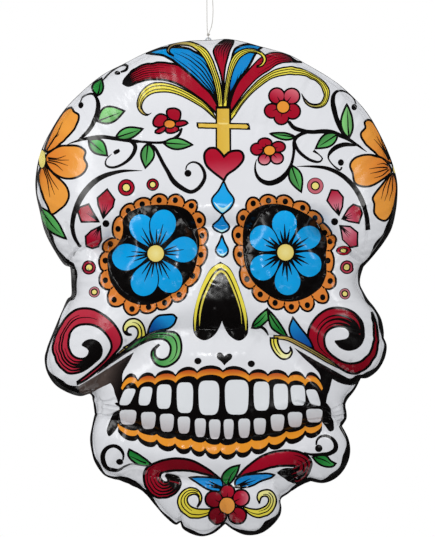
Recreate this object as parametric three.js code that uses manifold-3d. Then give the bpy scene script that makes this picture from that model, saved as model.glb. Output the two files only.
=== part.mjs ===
// Inflatable skull, a hanging decoration for the Day of the Dead.
// Two printed vinyl films are welded round their edge and blown up. Inner film webs tie the front
// film to the back film, so the face swells in lobes, and it hangs by a thread from an eyelet.
// Millimetres, +Z up, the face looks along -Y. The origin is the top of the thread's loop.
import * as THREE from 'three';
import { mergeVertices } from 'three/addons/utils/BufferGeometryUtils.js';
import Module from 'manifold-3d';

const wasm = await Module();
wasm.setup();

// Driving dimensions of the blown-up skull
const skullWidth = 391;
const skullHeight = 537;
const faceDepth = 76;
const backDepth = 64;
const filmWall = 0.4;
const seamWidth = 4.8;
// Clearance between pieces that are welded, tied or seated on each other
const touchGap = 0.3;
// How far the top of the skull hangs below the top of the thread's loop
const hangDrop = 65;
// The eyelet sits this far left of the skull's middle
const eyeletOffset = 8.9;

// Eyelet ring, welded behind the top of the seam
const eyelet = { radius: 3.6, hole: 1.7, wall: 0.8 };

// Thread and its knot
const thread = { diameter: 0.9, knotRadius: 1.9, knotAboveEyelet: 6.5, sides: 8 };

// Inner film ties
const webWall = 0.5;
const leftEye = { across: -0.175, up: 0.568, width: 101, height: 113 };
const rightEye = { across: 0.188, up: 0.57, width: 92, height: 108 };

// Filling valve in the middle of the back
const valve = {
  flangeRadius: 14,
  flangeWall: 1,
  bore: 3.9,
  neckWall: 1.7,
  neckInside: 4.1,
  neckOutside: 0.6,
  slideGap: 0.3,
  stemWall: 1.2,
  stemInside: 14,
  collarRadius: 5.2,
  collarWall: 1.2,
  lipRadius: 5,
  lipWall: 1,
  hingeReach: 7.2,
  hingeWidth: 2.6,
  plugRadius: 4.6,
  plugWall: 1.4,
  strapWall: 1,
  pinLength: 3.2,
  pinRootGap: 0.3,
  pinTipRadius: 1.2,
  flapRadius: 3.4,
  flapWall: 0.5,
  flapHingeReach: 4.6,
};

// How finely the films are faceted
const rimSteps = 96;
const faceRings = 13;
const backRings = 7;
// Inside each of these shares of the radius, a ring has half as many points
const halvingShares = [0.28, 0.58];
const roundSteps = 20;
const webSteps = 14;

// Outline of the skull, lobe by lobe from the left brow over the top. Each point is
// [share of skullWidth right of the middle, share of skullHeight above the chin].
const outlineShares = [
  [
    [-0.405, 0.541], [-0.446, 0.574], [-0.474, 0.614], [-0.494, 0.666], [-0.5, 0.716],
    [-0.482, 0.78], [-0.443, 0.833], [-0.38, 0.888], [-0.316, 0.927], [-0.22, 0.964],
    [-0.133, 0.989], [-0.046, 0.997], [0.032, 1], [0.123, 0.985], [0.2, 0.968],
    [0.308, 0.924], [0.39, 0.874], [0.452, 0.807], [0.482, 0.759], [0.499, 0.702],
    [0.495, 0.654], [0.465, 0.596], [0.429, 0.56], [0.406, 0.541],
  ],
  [[0.406, 0.541], [0.397, 0.513], [0.413, 0.481], [0.455, 0.437], [0.464, 0.399]],
  [[0.464, 0.399], [0.469, 0.379], [0.462, 0.353], [0.443, 0.332], [0.416, 0.318], [0.399, 0.317]],
  [[0.399, 0.317], [0.38, 0.292], [0.358, 0.268], [0.359, 0.24], [0.347, 0.222]],
  [[0.347, 0.222], [0.365, 0.194], [0.37, 0.174], [0.355, 0.137], [0.327, 0.116], [0.291, 0.107], [0.26, 0.111]],
  [
    [0.26, 0.111], [0.209, 0.091], [0.178, 0.075], [0.18, 0.057], [0.156, 0.023],
    [0.123, 0.007], [0.081, 0.002], [0.046, 0.013], [0.023, 0.026],
  ],
  [
    [0.023, 0.026], [-0.008, 0.006], [-0.046, 0], [-0.087, 0.013], [-0.109, 0.025],
    [-0.142, 0.04], [-0.173, 0.065], [-0.195, 0.086], [-0.228, 0.1], [-0.268, 0.113],
  ],
  [[-0.268, 0.113], [-0.311, 0.123], [-0.336, 0.148], [-0.349, 0.184], [-0.344, 0.218], [-0.337, 0.246]],
  [[-0.337, 0.246], [-0.341, 0.266], [-0.35, 0.286]],
  [[-0.35, 0.286], [-0.378, 0.281], [-0.426, 0.294], [-0.46, 0.316], [-0.475, 0.35], [-0.468, 0.379]],
  [[-0.468, 0.379], [-0.443, 0.423], [-0.41, 0.478], [-0.402, 0.505], [-0.405, 0.541]],
];

// Ties between the films in the same shares. rimDip and midDip are the shares of the depth that the
// tie takes away at its ends and in its middle, and reach is how far the film is drawn in beside it.
const ties = {
  forehead_web: {
    shares: [[-0.211, 0.811], [-0.081, 0.831], [0.018, 0.833], [0.093, 0.827], [0.178, 0.817], [0.258, 0.791]],
    rimDip: 0.03, midDip: 0.06, reach: 34,
  },
  brow_web_left: {
    shares: [[-0.405, 0.541], [-0.382, 0.572], [-0.344, 0.578], [-0.289, 0.584]],
    rimDip: 0.42, midDip: 0.22, reach: 32,
  },
  brow_web_middle: {
    shares: [[-0.073, 0.618], [0.015, 0.624], [0.093, 0.616]],
    rimDip: 0.12, midDip: 0.15, reach: 26,
  },
  brow_web_right: {
    shares: [[0.28, 0.62], [0.302, 0.606], [0.344, 0.586], [0.406, 0.541]],
    rimDip: 0.42, midDip: 0.22, reach: 32,
  },
  cheek_web: {
    shares: [
      [-0.35, 0.286], [-0.313, 0.326], [-0.269, 0.358], [-0.228, 0.375], [-0.181, 0.411], [-0.079, 0.419],
      [0.012, 0.417], [0.093, 0.421], [0.126, 0.409], [0.197, 0.395], [0.286, 0.352], [0.347, 0.324], [0.399, 0.317],
    ],
    rimDip: 0.42, midDip: 0.16, reach: 34,
  },
  mouth_web: {
    shares: [
      [-0.337, 0.246], [-0.255, 0.232], [-0.156, 0.214], [-0.032, 0.204],
      [0.065, 0.202], [0.189, 0.214], [0.28, 0.232], [0.347, 0.222],
    ],
    rimDip: 0.4, midDip: 0.16, reach: 32,
  },
  chin_web: {
    shares: [
      [-0.268, 0.113], [-0.211, 0.123], [-0.139, 0.121], [-0.073, 0.116],
      [0.026, 0.115], [0.126, 0.116], [0.203, 0.121], [0.26, 0.111],
    ],
    rimDip: 0.3, midDip: 0.2, reach: 28,
  },
};
const eyeDip = 0.1;
const eyeReach = 22;
// The back film is tied by the same webs, more slackly
const backTieShare = 0.7;

// The rounder outline that the film follows away from its edge is the mean over this many rim steps
const smoothSteps = 5;
// How quickly the true outline takes over towards the edge
const outlinePower = 6;
// A film's two faces are one behind the other along Y, and side by side only near the steep edge
const steepPower = 12;
// The back stays flat out to this share of its radius, which seats the valve
const valveSeatShare = 0.09;

const eyeletY = touchGap / 2 + filmWall + touchGap + eyelet.wall / 2;
const seamY = -eyeletY;
const middleX = eyeletOffset;
const chinZ = -hangDrop - skullHeight;
const centre = placeOf([0.001, 0.495]);

const colours = {
  film: 0xe8e8ec,
  web: 0xdfe3e8,
  valve: 0xf2f2f2,
  clear: 0xdfe6ea,
  thread: 0xd9d6cf,
};

// Where a pair of shares lies, as a point in X and Z
function placeOf([across, up]) {
  return new THREE.Vector2(middleX + across * skullWidth, chinZ + up * skullHeight);
}

// A curve through hand-chosen places
function curveOf(shares, closed = false) {
  const points = shares.map(placeOf).map(p => new THREE.Vector3(p.x, p.y, 0));
  return new THREE.CatmullRomCurve3(points, closed, 'centripetal');
}

// Points spaced evenly round the rim, with one at each notch between two lobes. Each lobe has as
// many steps as the rings' halving needs, or a multiple of that.
function rimPoints() {
  const lobes = outlineShares.map(shares => curveOf(shares));
  const whole = lobes.reduce((sum, lobe) => sum + lobe.getLength(), 0);
  const unit = 2 ** halvingShares.length;
  const points = [];
  for (const lobe of lobes) {
    const steps = unit * Math.max(1, Math.round(rimSteps * lobe.getLength() / whole / unit));
    for (const p of lobe.getSpacedPoints(steps).slice(0, -1)) points.push(new THREE.Vector2(p.x, p.y));
  }
  return points;
}

const rim = rimPoints();
const rimRadii = rim.map(p => p.distanceTo(centre));
const smoothRadii = rimRadii.map((_, i) => {
  let sum = 0;
  for (let k = -smoothSteps; k <= smoothSteps; k++) sum += rimRadii[(i + k + rim.length) % rim.length];
  return sum / (2 * smoothSteps + 1);
});

// Each tie as a run of short straight lines, with the dip at each of its points
const tieLines = Object.values(ties).map(tie => {
  const points = curveOf(tie.shares).getSpacedPoints(webSteps).map(p => new THREE.Vector2(p.x, p.y));
  const dips = points.map((_, i) => {
    const toMiddle = Math.sin(Math.PI * i / webSteps);
    return tie.rimDip + (tie.midDip - tie.rimDip) * toMiddle;
  });
  return { points, dips, reach: tie.reach };
});
for (const eye of [leftEye, rightEye]) {
  const points = ellipsePoints(eye, 0);
  points.push(points[0]);
  tieLines.push({ points, dips: points.map(() => eyeDip), reach: eyeReach });
}

function ellipsePoints(eye, grow) {
  const middle = placeOf([eye.across, eye.up]);
  return Array.from({ length: roundSteps }, (_, i) => {
    const turn = 2 * Math.PI * i / roundSteps;
    return new THREE.Vector2(
      middle.x + (eye.width / 2 + grow) * Math.cos(turn),
      middle.y + (eye.height / 2 + grow) * Math.sin(turn),
    );
  });
}

// How far the ties draw the film in at a place: 1 where they leave it alone
function drawnIn(place, tieShare) {
  let share = 1;
  for (const { points, dips, reach } of tieLines) {
    let nearest = Infinity;
    let dip = 0;
    for (let i = 0; i + 1 < points.length; i++) {
      const line = points[i + 1].clone().sub(points[i]);
      const along = THREE.MathUtils.clamp(place.clone().sub(points[i]).dot(line) / line.lengthSq(), 0, 1);
      const apart = points[i].clone().addScaledVector(line, along).distanceTo(place);
      if (apart < nearest) {
        nearest = apart;
        dip = dips[i] + (dips[i + 1] - dips[i]) * along;
      }
    }
    if (nearest < reach) share *= 1 - tieShare * dip * (1 - nearest / reach) ** 2;
  }
  return share;
}

// Height of a blown-up film above the seam, at a share of the way from the centre to the rim
function swell(i, share, depth, flatShare, tieShare) {
  const blended = smoothRadii[i] + (rimRadii[i] - smoothRadii[i]) * share ** outlinePower;
  const from = Math.min(1, share * rimRadii[i] / blended);
  const round = share > flatShare ? Math.max(0, (from - flatShare) / (1 - flatShare)) : 0;
  const place = share > flatShare ? centre.clone().lerp(rim[i], share) : centre;
  return depth * Math.sqrt(Math.max(0, 1 - round * round)) * drawnIn(place, tieShare);
}

// A closed surface from rings of points with a point at either end. Each ring has as many points as
// the one before, or twice or half as many.
function ringSolid(firstPoint, rings, lastPoint) {
  const points = [firstPoint];
  const faces = [];
  let before = null;
  for (const ring of rings) {
    const start = points.length;
    points.push(...ring);
    const now = i => start + i % ring.length;
    const joined = { at: now, count: ring.length, radius: Math.hypot(ring[0].x - centre.x, ring[0].z - centre.y) };
    if (before === null) ring.forEach((_, i) => faces.push(0, now(i), now(i + 1)));
    else joinRings(faces, before, joined);
    before = joined;
  }
  const last = points.length;
  points.push(lastPoint);
  for (let i = 0; i < before.count; i++) faces.push(before.at(i), last, before.at(i + 1));
  return solidFrom(points, faces);
}

// The triangles between two rings, wound from the first ring to the second. They are cut the same way
// outwards as inwards, so that the two faces of a film, and the webs behind it, never cross.
function joinRings(faces, a, b) {
  for (let i = 0; i < Math.min(a.count, b.count); i++) {
    if (a.count === b.count && a.radius < b.radius) {
      faces.push(a.at(i), b.at(i), b.at(i + 1), a.at(i), b.at(i + 1), a.at(i + 1));
    } else if (a.count === b.count) {
      faces.push(a.at(i), b.at(i), a.at(i + 1), a.at(i + 1), b.at(i), b.at(i + 1));
    } else if (b.count > a.count) {
      const [left, middle, right] = [0, 1, 2].map(k => b.at(2 * i + k));
      faces.push(a.at(i), left, middle, a.at(i), middle, a.at(i + 1), a.at(i + 1), middle, right);
    } else {
      const [left, middle, right] = [0, 1, 2].map(k => a.at(2 * i + k));
      faces.push(b.at(i), middle, left, b.at(i), b.at(i + 1), middle, b.at(i + 1), right, middle);
    }
  }
}

// Rings of one face of a film, from its centre to its foot, drawn in from the rim by inset. Its
// height above the seam is changed by lift, but it never passes through the seam.
function filmRings({ side, depth, rings, flatShare, tieShare, inset, lift }) {
  const found = [];
  for (let ring = flatShare > 0 ? 0 : 1; ring <= rings; ring++) {
    const share = flatShare + (1 - flatShare) * Math.sin(Math.PI / 2 * ring / rings);
    const every = 2 ** halvingShares.filter(limit => share < limit).length;
    const points = [];
    for (let i = 0; i < rim.length; i += every) {
      const shrink = (rimRadii[i] - seamWidth - inset * share ** steepPower) / rimRadii[i];
      const place = centre.clone().lerp(rim[i], share * shrink);
      const height = ring === rings ? 0 : swell(i, share, depth, flatShare, tieShare);
      points.push(new THREE.Vector3(place.x, seamY + side * Math.max(0, lift + height), place.y));
    }
    found.push(points);
  }
  return found;
}

const faceShape = { side: -1, depth: faceDepth, rings: faceRings, flatShare: 0, tieShare: 1 };
const backShape = {
  side: 1, depth: backDepth, rings: backRings, flatShare: valveSeatShare, tieShare: backTieShare,
};

function centrePoint({ side, depth, tieShare }, lift) {
  return new THREE.Vector3(centre.x, seamY + side * (lift + depth * drawnIn(centre, tieShare)), centre.y);
}

// One film panel: a thin blown-up shell with a flat seam round it
function panel(shape) {
  const outerLift = touchGap / 2 + filmWall;
  const innerLift = touchGap / 2;
  const outer = filmRings({ ...shape, inset: 0, lift: outerLift });
  const inner = filmRings({ ...shape, inset: filmWall, lift: innerLift });
  const edge = lift => rim.map(p => new THREE.Vector3(p.x, seamY + shape.side * lift, p.y));
  const rings = [...outer, edge(outerLift), edge(innerLift), ...inner.reverse()];
  return ringSolid(centrePoint(shape, outerLift), rings, centrePoint(shape, innerLift));
}

// The air inside, a clearance away from both films
function airInside() {
  const inset = filmWall;
  const lift = -touchGap / 2;
  const front = filmRings({ ...faceShape, inset, lift });
  const back = filmRings({ ...backShape, inset, lift });
  back.pop();
  const frontPoint = centrePoint(faceShape, lift);
  return ringSolid(frontPoint, [...front, ...back.reverse()], centrePoint(backShape, lift));
}

function solidFrom(points, faces) {
  const vertProperties = new Float32Array(points.flatMap(p => [p.x, p.y, p.z]));
  const mesh = new wasm.Mesh({ numProp: 3, vertProperties, triVerts: new Uint32Array(faces) });
  const solid = new wasm.Manifold(mesh);
  if (solid.volume() > 0) return solid;
  for (let i = 0; i < faces.length; i += 3) [faces[i], faces[i + 1]] = [faces[i + 1], faces[i]];
  return solidFrom(points, faces);
}

function solidOf(geometry) {
  geometry.deleteAttribute('normal');
  geometry.deleteAttribute('uv');
  const merged = mergeVertices(geometry);
  const mesh = new wasm.Mesh({
    numProp: 3,
    vertProperties: new Float32Array(merged.attributes.position.array),
    triVerts: new Uint32Array(merged.index.array),
  });
  return new wasm.Manifold(mesh);
}

function geometryOf(solid) {
  const mesh = solid.getMesh();
  const geometry = new THREE.BufferGeometry();
  geometry.setAttribute('position', new THREE.BufferAttribute(mesh.vertProperties, 3));
  geometry.setIndex(new THREE.BufferAttribute(mesh.triVerts, 1));
  return geometry;
}

// A flat outline in X and Z, pushed through both films along Y
function throughFilms(outline) {
  const reach = faceDepth + backDepth;
  const geometry = new THREE.ExtrudeGeometry(new THREE.Shape(outline), { depth: 2 * reach, bevelEnabled: false });
  geometry.rotateX(Math.PI / 2);
  geometry.translate(0, reach, 0);
  return solidOf(geometry);
}

const air = airInside();
const eyeClearance = webWall + touchGap;
const eyeColumns = [leftEye, rightEye].map(eye => throughFilms(ellipsePoints(eye, eyeClearance)));

// A web is a strip of film along its tie, cut to the space between the films and beside the eyes
function web(tie) {
  const curve = curveOf(tie.shares);
  const sides = [[], []];
  for (let i = 0; i <= webSteps; i++) {
    const at = curve.getPointAt(i / webSteps);
    const along = curve.getTangentAt(i / webSteps);
    for (const [k, side] of [1, -1].entries()) {
      const across = side * webWall / 2;
      sides[k].push(new THREE.Vector2(at.x - along.y * across, at.y + along.x * across));
    }
  }
  let strip = throughFilms([...sides[0], ...sides[1].reverse()]).intersect(air);
  for (const column of eyeColumns) strip = strip.subtract(column);
  return strip;
}

function eyeSleeve(eye) {
  return throughFilms(ellipsePoints(eye, webWall)).subtract(throughFilms(ellipsePoints(eye, 0))).intersect(air);
}

// Turns a profile of [radius, distance out of the back] round the valve's axis
const backFilmY = centrePoint(backShape, touchGap / 2 + filmWall).y;
function turned(profile) {
  const points = profile.map(([radius, out]) => new THREE.Vector2(radius, out));
  const geometry = new THREE.LatheGeometry(points, roundSteps);
  return solidOf(geometry).translate([centre.x, backFilmY, centre.y]);
}

// A block in the valve's own frame: X across, Y out of the back, Z up from the axis
function valveBlock(width, fromOut, toOut, fromUp, toUp) {
  const geometry = new THREE.BoxGeometry(width, toOut - fromOut, toUp - fromUp);
  geometry.translate(centre.x, backFilmY + (fromOut + toOut) / 2, centre.y + (fromUp + toUp) / 2);
  return solidOf(geometry);
}

// Heights out of the back film along the valve's axis
const flangeTop = -filmWall - touchGap;
const flangeBottom = flangeTop - valve.flangeWall;
const neckBottom = flangeTop - valve.neckInside;
const neckRadius = valve.bore + valve.neckWall;
const collarBottom = valve.neckOutside + touchGap;
const collarTop = collarBottom + valve.collarWall;
const plugBottom = collarTop + touchGap;
const lipTop = -valve.stemInside;
const lipBottom = lipTop - valve.lipWall;
const flapTop = lipBottom - touchGap;
const stemRadius = valve.bore - valve.slideGap;
const stemBore = stemRadius - valve.stemWall;

function valveBody() {
  return turned([
    [valve.bore, neckBottom],
    [neckRadius, neckBottom],
    [neckRadius, flangeBottom],
    [valve.flangeRadius, flangeBottom],
    [valve.flangeRadius, flangeTop],
    [neckRadius, flangeTop],
    [neckRadius, valve.neckOutside],
    [valve.bore, valve.neckOutside],
    [valve.bore, neckBottom],
  ]);
}

function valveStem() {
  const tube = turned([
    [stemBore, lipBottom],
    [valve.lipRadius, lipBottom],
    [valve.lipRadius, lipTop],
    [stemRadius, lipTop],
    [stemRadius, collarBottom],
    [valve.collarRadius, collarBottom],
    [valve.collarRadius, collarTop],
    [stemBore, collarTop],
    [stemBore, lipBottom],
  ]);
  const lug = valveBlock(valve.hingeWidth, collarBottom, collarTop, stemRadius, valve.hingeReach);
  return tube.add(lug);
}

function valvePlug() {
  const pinRoot = stemBore - valve.pinRootGap;
  const head = turned([
    [0, plugBottom - valve.pinLength],
    [valve.pinTipRadius, plugBottom - valve.pinLength],
    [pinRoot, plugBottom],
    [valve.plugRadius, plugBottom],
    [valve.plugRadius, plugBottom + valve.plugWall],
    [0, plugBottom + valve.plugWall],
  ]);
  const strapTop = plugBottom + valve.strapWall;
  return head.add(valveBlock(valve.hingeWidth, plugBottom, strapTop, pinRoot, valve.hingeReach));
}

function valveFlap() {
  const disc = turned([
    [0, flapTop - valve.flapWall],
    [valve.flapRadius, flapTop - valve.flapWall],
    [valve.flapRadius, flapTop],
    [0, flapTop],
  ]);
  const tongueFrom = valve.flapRadius / 2;
  return disc.add(valveBlock(valve.hingeWidth, flapTop - valve.flapWall, flapTop, tongueFrom, valve.flapHingeReach));
}

function backPanel() {
  const hole = neckRadius + touchGap;
  return panel(backShape).subtract(turned([
    [0, -valve.flangeRadius],
    [hole, -valve.flangeRadius],
    [hole, valve.flangeRadius],
    [0, valve.flangeRadius],
  ]));
}

// The eyelet's middle lies on the top edge of the seam
const eyeletZ = placeOf([-eyeletOffset / skullWidth, 0.998]).y;
const boreThreadZ = eyeletZ + eyelet.hole - touchGap - thread.diameter / 2;
const knotZ = eyeletZ + thread.knotAboveEyelet;

function eyeletRing() {
  const shape = new THREE.Shape();
  shape.absarc(0, 0, eyelet.radius, 0, 2 * Math.PI);
  shape.holes.push(new THREE.Path().absarc(0, 0, eyelet.hole, 0, 2 * Math.PI, true));
  const geometry = new THREE.ExtrudeGeometry(shape, {
    depth: eyelet.wall, bevelEnabled: false, curveSegments: roundSteps,
  });
  geometry.rotateX(Math.PI / 2);
  geometry.translate(0, eyelet.wall / 2, eyeletZ);
  return solidOf(geometry);
}

// A thread tube along a smooth curve through hand-chosen places
function threadTube(places, steps) {
  const section = new THREE.Shape();
  for (let i = 0; i < thread.sides; i++) {
    const turn = 2 * Math.PI * i / thread.sides;
    const [x, y] = [Math.cos(turn), Math.sin(turn)].map(part => part * thread.diameter / 2);
    if (i === 0) section.moveTo(x, y);
    else section.lineTo(x, y);
  }
  const path = new THREE.CatmullRomCurve3(places.map(p => new THREE.Vector3(...p)));
  const geometry = new THREE.ExtrudeGeometry(section, { steps, extrudePath: path, bevelEnabled: false });
  return solidOf(geometry);
}

// Both strands and the loop at their top, from the knot's left to its right
const loopRoute = [
  [-0.75, 0, -57.5],
  [-1, 0, -56.6],
  [-1.3, 0, -50],
  [-1.5, 0, -36],
  [-1.6, 0, -20],
  [-2.1, 0, -8],
  [-2.2, 0, -2.6],
  [0, 0, 0],
  [2.2, 0, -2.6],
  [3, 0, -8],
  [4.6, 0, -22],
  [5, 0, -38],
  [3.6, 0, -50],
  [1.5, 0, -56],
  [0.85, 0, -57.54],
];

// The small bight from the knot down through the eyelet and back
const bightHalf = 1.8;
const bightTop = knotZ - thread.knotRadius - touchGap;
const bightRoute = [
  [0, -1.25, bightTop + 0.38],
  [0, -bightHalf, boreThreadZ + 1.6],
  [0, 0, boreThreadZ],
  [0, bightHalf, boreThreadZ + 1.6],
  [0, 1.25, bightTop + 0.38],
];

function knot() {
  const geometry = new THREE.SphereGeometry(thread.knotRadius, roundSteps / 2, roundSteps / 3);
  geometry.translate(0, 0, knotZ);
  return solidOf(geometry);
}

const group = new THREE.Group();
function addPiece(name, solid, color, roughness, metalness = 0) {
  const material = new THREE.MeshStandardMaterial({ color, roughness, metalness });
  const mesh = new THREE.Mesh(geometryOf(solid), material);
  mesh.name = name;
  group.add(mesh);
}

addPiece('front_panel', panel(faceShape), colours.film, 0.25);
addPiece('back_panel', backPanel(), colours.film, 0.25);
for (const [name, tie] of Object.entries(ties)) addPiece(name, web(tie), colours.web, 0.3);
addPiece('eye_sleeve_left', eyeSleeve(leftEye), colours.web, 0.3);
addPiece('eye_sleeve_right', eyeSleeve(rightEye), colours.web, 0.3);
addPiece('valve_body', valveBody(), colours.valve, 0.35);
addPiece('valve_stem', valveStem(), colours.valve, 0.35);
addPiece('valve_plug', valvePlug(), colours.valve, 0.35);
addPiece('valve_flap', valveFlap(), colours.valve, 0.35);
addPiece('eyelet_ring', eyeletRing(), colours.clear, 0.15);
addPiece('hang_thread', threadTube(loopRoute, 48), colours.thread, 0.8);
addPiece('thread_bight', threadTube(bightRoute, 12), colours.thread, 0.8);
addPiece('thread_knot', knot(), colours.thread, 0.8);

export default group;
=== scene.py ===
"""The looks of an inflatable skull, a Day of the Dead decoration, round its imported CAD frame.

The printed front film and the plain back film are drawn as flat films first, cut into triangles along
every edge of the print, and then blown up. Metres, +Z up, the face looks along -Y.
"""

import math

import bpy
import numpy as np
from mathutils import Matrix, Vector
from mathutils.geometry import delaunay_2d_cdt


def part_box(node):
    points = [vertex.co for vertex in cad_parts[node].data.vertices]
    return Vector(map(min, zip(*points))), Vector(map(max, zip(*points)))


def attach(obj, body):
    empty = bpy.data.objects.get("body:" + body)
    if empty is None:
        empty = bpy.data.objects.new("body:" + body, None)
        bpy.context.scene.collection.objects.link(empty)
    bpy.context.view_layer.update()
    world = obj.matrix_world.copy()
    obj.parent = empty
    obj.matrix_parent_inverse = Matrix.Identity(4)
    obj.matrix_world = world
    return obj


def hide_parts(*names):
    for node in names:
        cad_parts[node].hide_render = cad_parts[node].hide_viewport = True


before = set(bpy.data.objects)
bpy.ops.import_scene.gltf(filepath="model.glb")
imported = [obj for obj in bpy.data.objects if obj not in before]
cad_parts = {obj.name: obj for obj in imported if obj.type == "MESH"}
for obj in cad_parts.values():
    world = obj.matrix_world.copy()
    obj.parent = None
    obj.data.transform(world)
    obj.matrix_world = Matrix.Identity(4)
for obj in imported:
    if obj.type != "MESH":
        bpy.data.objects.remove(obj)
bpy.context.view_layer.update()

# The drawing's unit is a pixel of the photograph: u to the right and v down.
DRAWN_LEFT, DRAWN_RIGHT, DRAWN_CHIN = 35.4, 397.5, 536.3
PICTURE_MIDDLE = (217.5, 268.5)
PICTURE_TALL = 537

# Sizes of the blown-up films, as the frame has them. The back film's middle is flat where the valve sits,
# and the ties draw it in less
FACE_DEPTH = 0.076
BACK_DEPTH = 0.064
FILM_WALL = 0.0004
SEAM_WIDTH = 0.0048
TOUCH_GAP = 0.0003
OUTER_LIFT = TOUCH_GAP / 2 + FILM_WALL
VALVE_SEAT_SHARE = 0.09
BACK_TIE_SHARE = 0.7

film_low, film_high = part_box("front_panel")
UNIT = (film_high.x - film_low.x) / (DRAWN_RIGHT - DRAWN_LEFT)
SEAM_Y = film_high.y + TOUCH_GAP / 2


def on_seam(places):
    """Where places of the drawing lie on the seam's plane, as X and Z."""
    places = np.asarray(places, float)
    x = film_low.x + (places[..., 0] - DRAWN_LEFT) * UNIT
    z = film_low.z + (DRAWN_CHIN - places[..., 1]) * UNIT
    return np.stack([x, z], -1)


def on_drawing(xz):
    """The places of the drawing that points in X and Z show at."""
    u = DRAWN_LEFT + (xz[..., 0] - film_low.x) / UNIT
    v = DRAWN_CHIN - (xz[..., 1] - film_low.z) / UNIT
    return np.stack([u, v], -1)


# The camera looks straight at the face from far away, through a long lens
CAMERA_DISTANCE = 5.0
CAMERA_REACH = (0.1, 60)
SENSOR = 36.0
PICTURE_XZ = on_seam(PICTURE_MIDDLE)


def link(name, data):
    """A new object in the scene for its data."""
    thing = bpy.data.objects.new(name, data)
    bpy.context.scene.collection.objects.link(thing)
    return thing


def add_camera():
    """The camera, whose picture is as large as the photograph at the seam."""
    data = bpy.data.cameras.new("camera")
    data.sensor_width = SENSOR
    data.lens = SENSOR * CAMERA_DISTANCE / (PICTURE_TALL * UNIT)
    data.clip_start, data.clip_end = CAMERA_REACH
    camera = link("camera", data)
    camera.location = (PICTURE_XZ[0], SEAM_Y - CAMERA_DISTANCE, PICTURE_XZ[1])
    camera.rotation_euler = (math.pi / 2, 0, 0)
    bpy.context.scene.camera = camera


add_camera()


# Curves

# How far apart a curve's points are, how finely it is worked out first, and points tested at a time
STEP = 2.0
FINE = 12
BATCH = 1000
# How sharp a corner may stay when its loop is drawn out
SHARPEST = 1.2
# The least length that is divided by
LEAST = 1e-9


def lengths(line):
    """How long each short stretch of a line is."""
    return np.linalg.norm(np.diff(line, axis=0), axis=1)


def passed(line):
    """How far along a line each of its points is."""
    return np.concatenate([[0], np.cumsum(lengths(line))])


def unit(runs):
    """The same directions, each one unit long."""
    return runs / np.linalg.norm(runs, axis=1, keepdims=True)


def turns(count):
    """The angles of points evenly round a circle."""
    return np.linspace(0, 2 * np.pi, count, endpoint=False)


def closed_line(loop):
    """A loop with its first point again at its end."""
    return np.vstack([loop, loop[:1]])


def around(loop, step=1):
    """The run at each point of a loop, from the point before it to the one after it."""
    return np.roll(loop, -step, 0) - np.roll(loop, step, 0)


def even(line, closed, step):
    """The same line with its points evenly spaced, about step apart."""
    line = np.asarray(line, float)
    if closed:
        line = closed_line(line)
    along = passed(line)
    count = max(3, round(along[-1] / step)) + (0 if closed else 1)
    at = np.linspace(0, along[-1], count, endpoint=not closed)
    return np.stack([np.interp(at, along, line[:, k]) for k in range(line.shape[1])], -1)


def smooth(places, closed=False, step=STEP):
    """A smooth curve through given places, as evenly spaced points."""
    p = np.asarray(places, float)
    if closed and np.allclose(p[0], p[-1]):
        p = p[:-1]
    if len(p) == 2 and not closed:
        return even(p, False, step)
    if closed:
        p = np.vstack([p[-1:], p, p[:2]])
    else:
        p = np.vstack([2 * p[:1] - p[1:2], p, 2 * p[-1:] - p[-2:-1]])
    pieces = []
    for p0, p1, p2, p3 in zip(p, p[1:], p[2:], p[3:]):
        t1 = np.linalg.norm(p1 - p0) ** 0.5
        t2 = t1 + np.linalg.norm(p2 - p1) ** 0.5
        t3 = t2 + np.linalg.norm(p3 - p2) ** 0.5
        t = np.linspace(t1, t2, FINE + 1)[:-1, None]
        a1 = (t1 - t) / t1 * p0 + t / t1 * p1
        a2 = (t2 - t) / (t2 - t1) * p1 + (t - t1) / (t2 - t1) * p2
        a3 = (t3 - t) / (t3 - t2) * p2 + (t - t2) / (t3 - t2) * p3
        b1 = (t2 - t) / t2 * a1 + t / t2 * a2
        b2 = (t3 - t) / (t3 - t1) * a2 + (t - t1) / (t3 - t1) * a3
        pieces.append((t2 - t) / (t2 - t1) * b1 + (t - t1) / (t2 - t1) * b2)
    if not closed:
        pieces.append(p[-2:-1])
    return even(np.vstack(pieces), closed, step)


def to_left(ahead):
    """The directions to the left of others, as the drawing shows them."""
    return np.stack([ahead[:, 1], -ahead[:, 0]], -1)


def turned_out(loop):
    """The loop in the turning sense that the filling expects."""
    ahead = np.roll(loop, -1, 0)
    twice_area = np.sum(loop[:, 0] * ahead[:, 1] - loop[:, 1] * ahead[:, 0])
    return loop if twice_area > 0 else loop[::-1]


def grown(loop, by):
    """A closed loop drawn out by a distance, or in where it is negative."""
    loop = turned_out(loop)
    ahead = np.roll(loop, -1, 0) - loop
    ahead /= np.maximum(np.linalg.norm(ahead, axis=1, keepdims=True), LEAST)
    outward = to_left(ahead)
    both = outward + np.roll(outward, 1, 0)
    sharpness = np.sum(both * both, axis=1, keepdims=True)
    return loop + by * 2 * both / np.maximum(sharpness, SHARPEST)


def inside(points, loop):
    """Which points a loop goes round, in its own turning sense."""
    loop = turned_out(loop)
    found = np.zeros(len(points), bool)
    near = np.flatnonzero(np.all((points >= loop.min(0)) & (points <= loop.max(0)), axis=1))
    a, b = loop[None], np.roll(loop, -1, 0)[None]
    for start in range(0, len(near), BATCH):
        batch = near[start : start + BATCH]
        p = points[batch][:, None]
        run, away = b - a, p - a
        side = run[..., 0] * away[..., 1] - away[..., 0] * run[..., 1]
        up = (a[..., 1] <= p[..., 1]) & (b[..., 1] > p[..., 1]) & (side > 0)
        down = (a[..., 1] > p[..., 1]) & (b[..., 1] <= p[..., 1]) & (side < 0)
        found[batch] = up.sum(1) - down.sum(1) > 0
    return found


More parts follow.
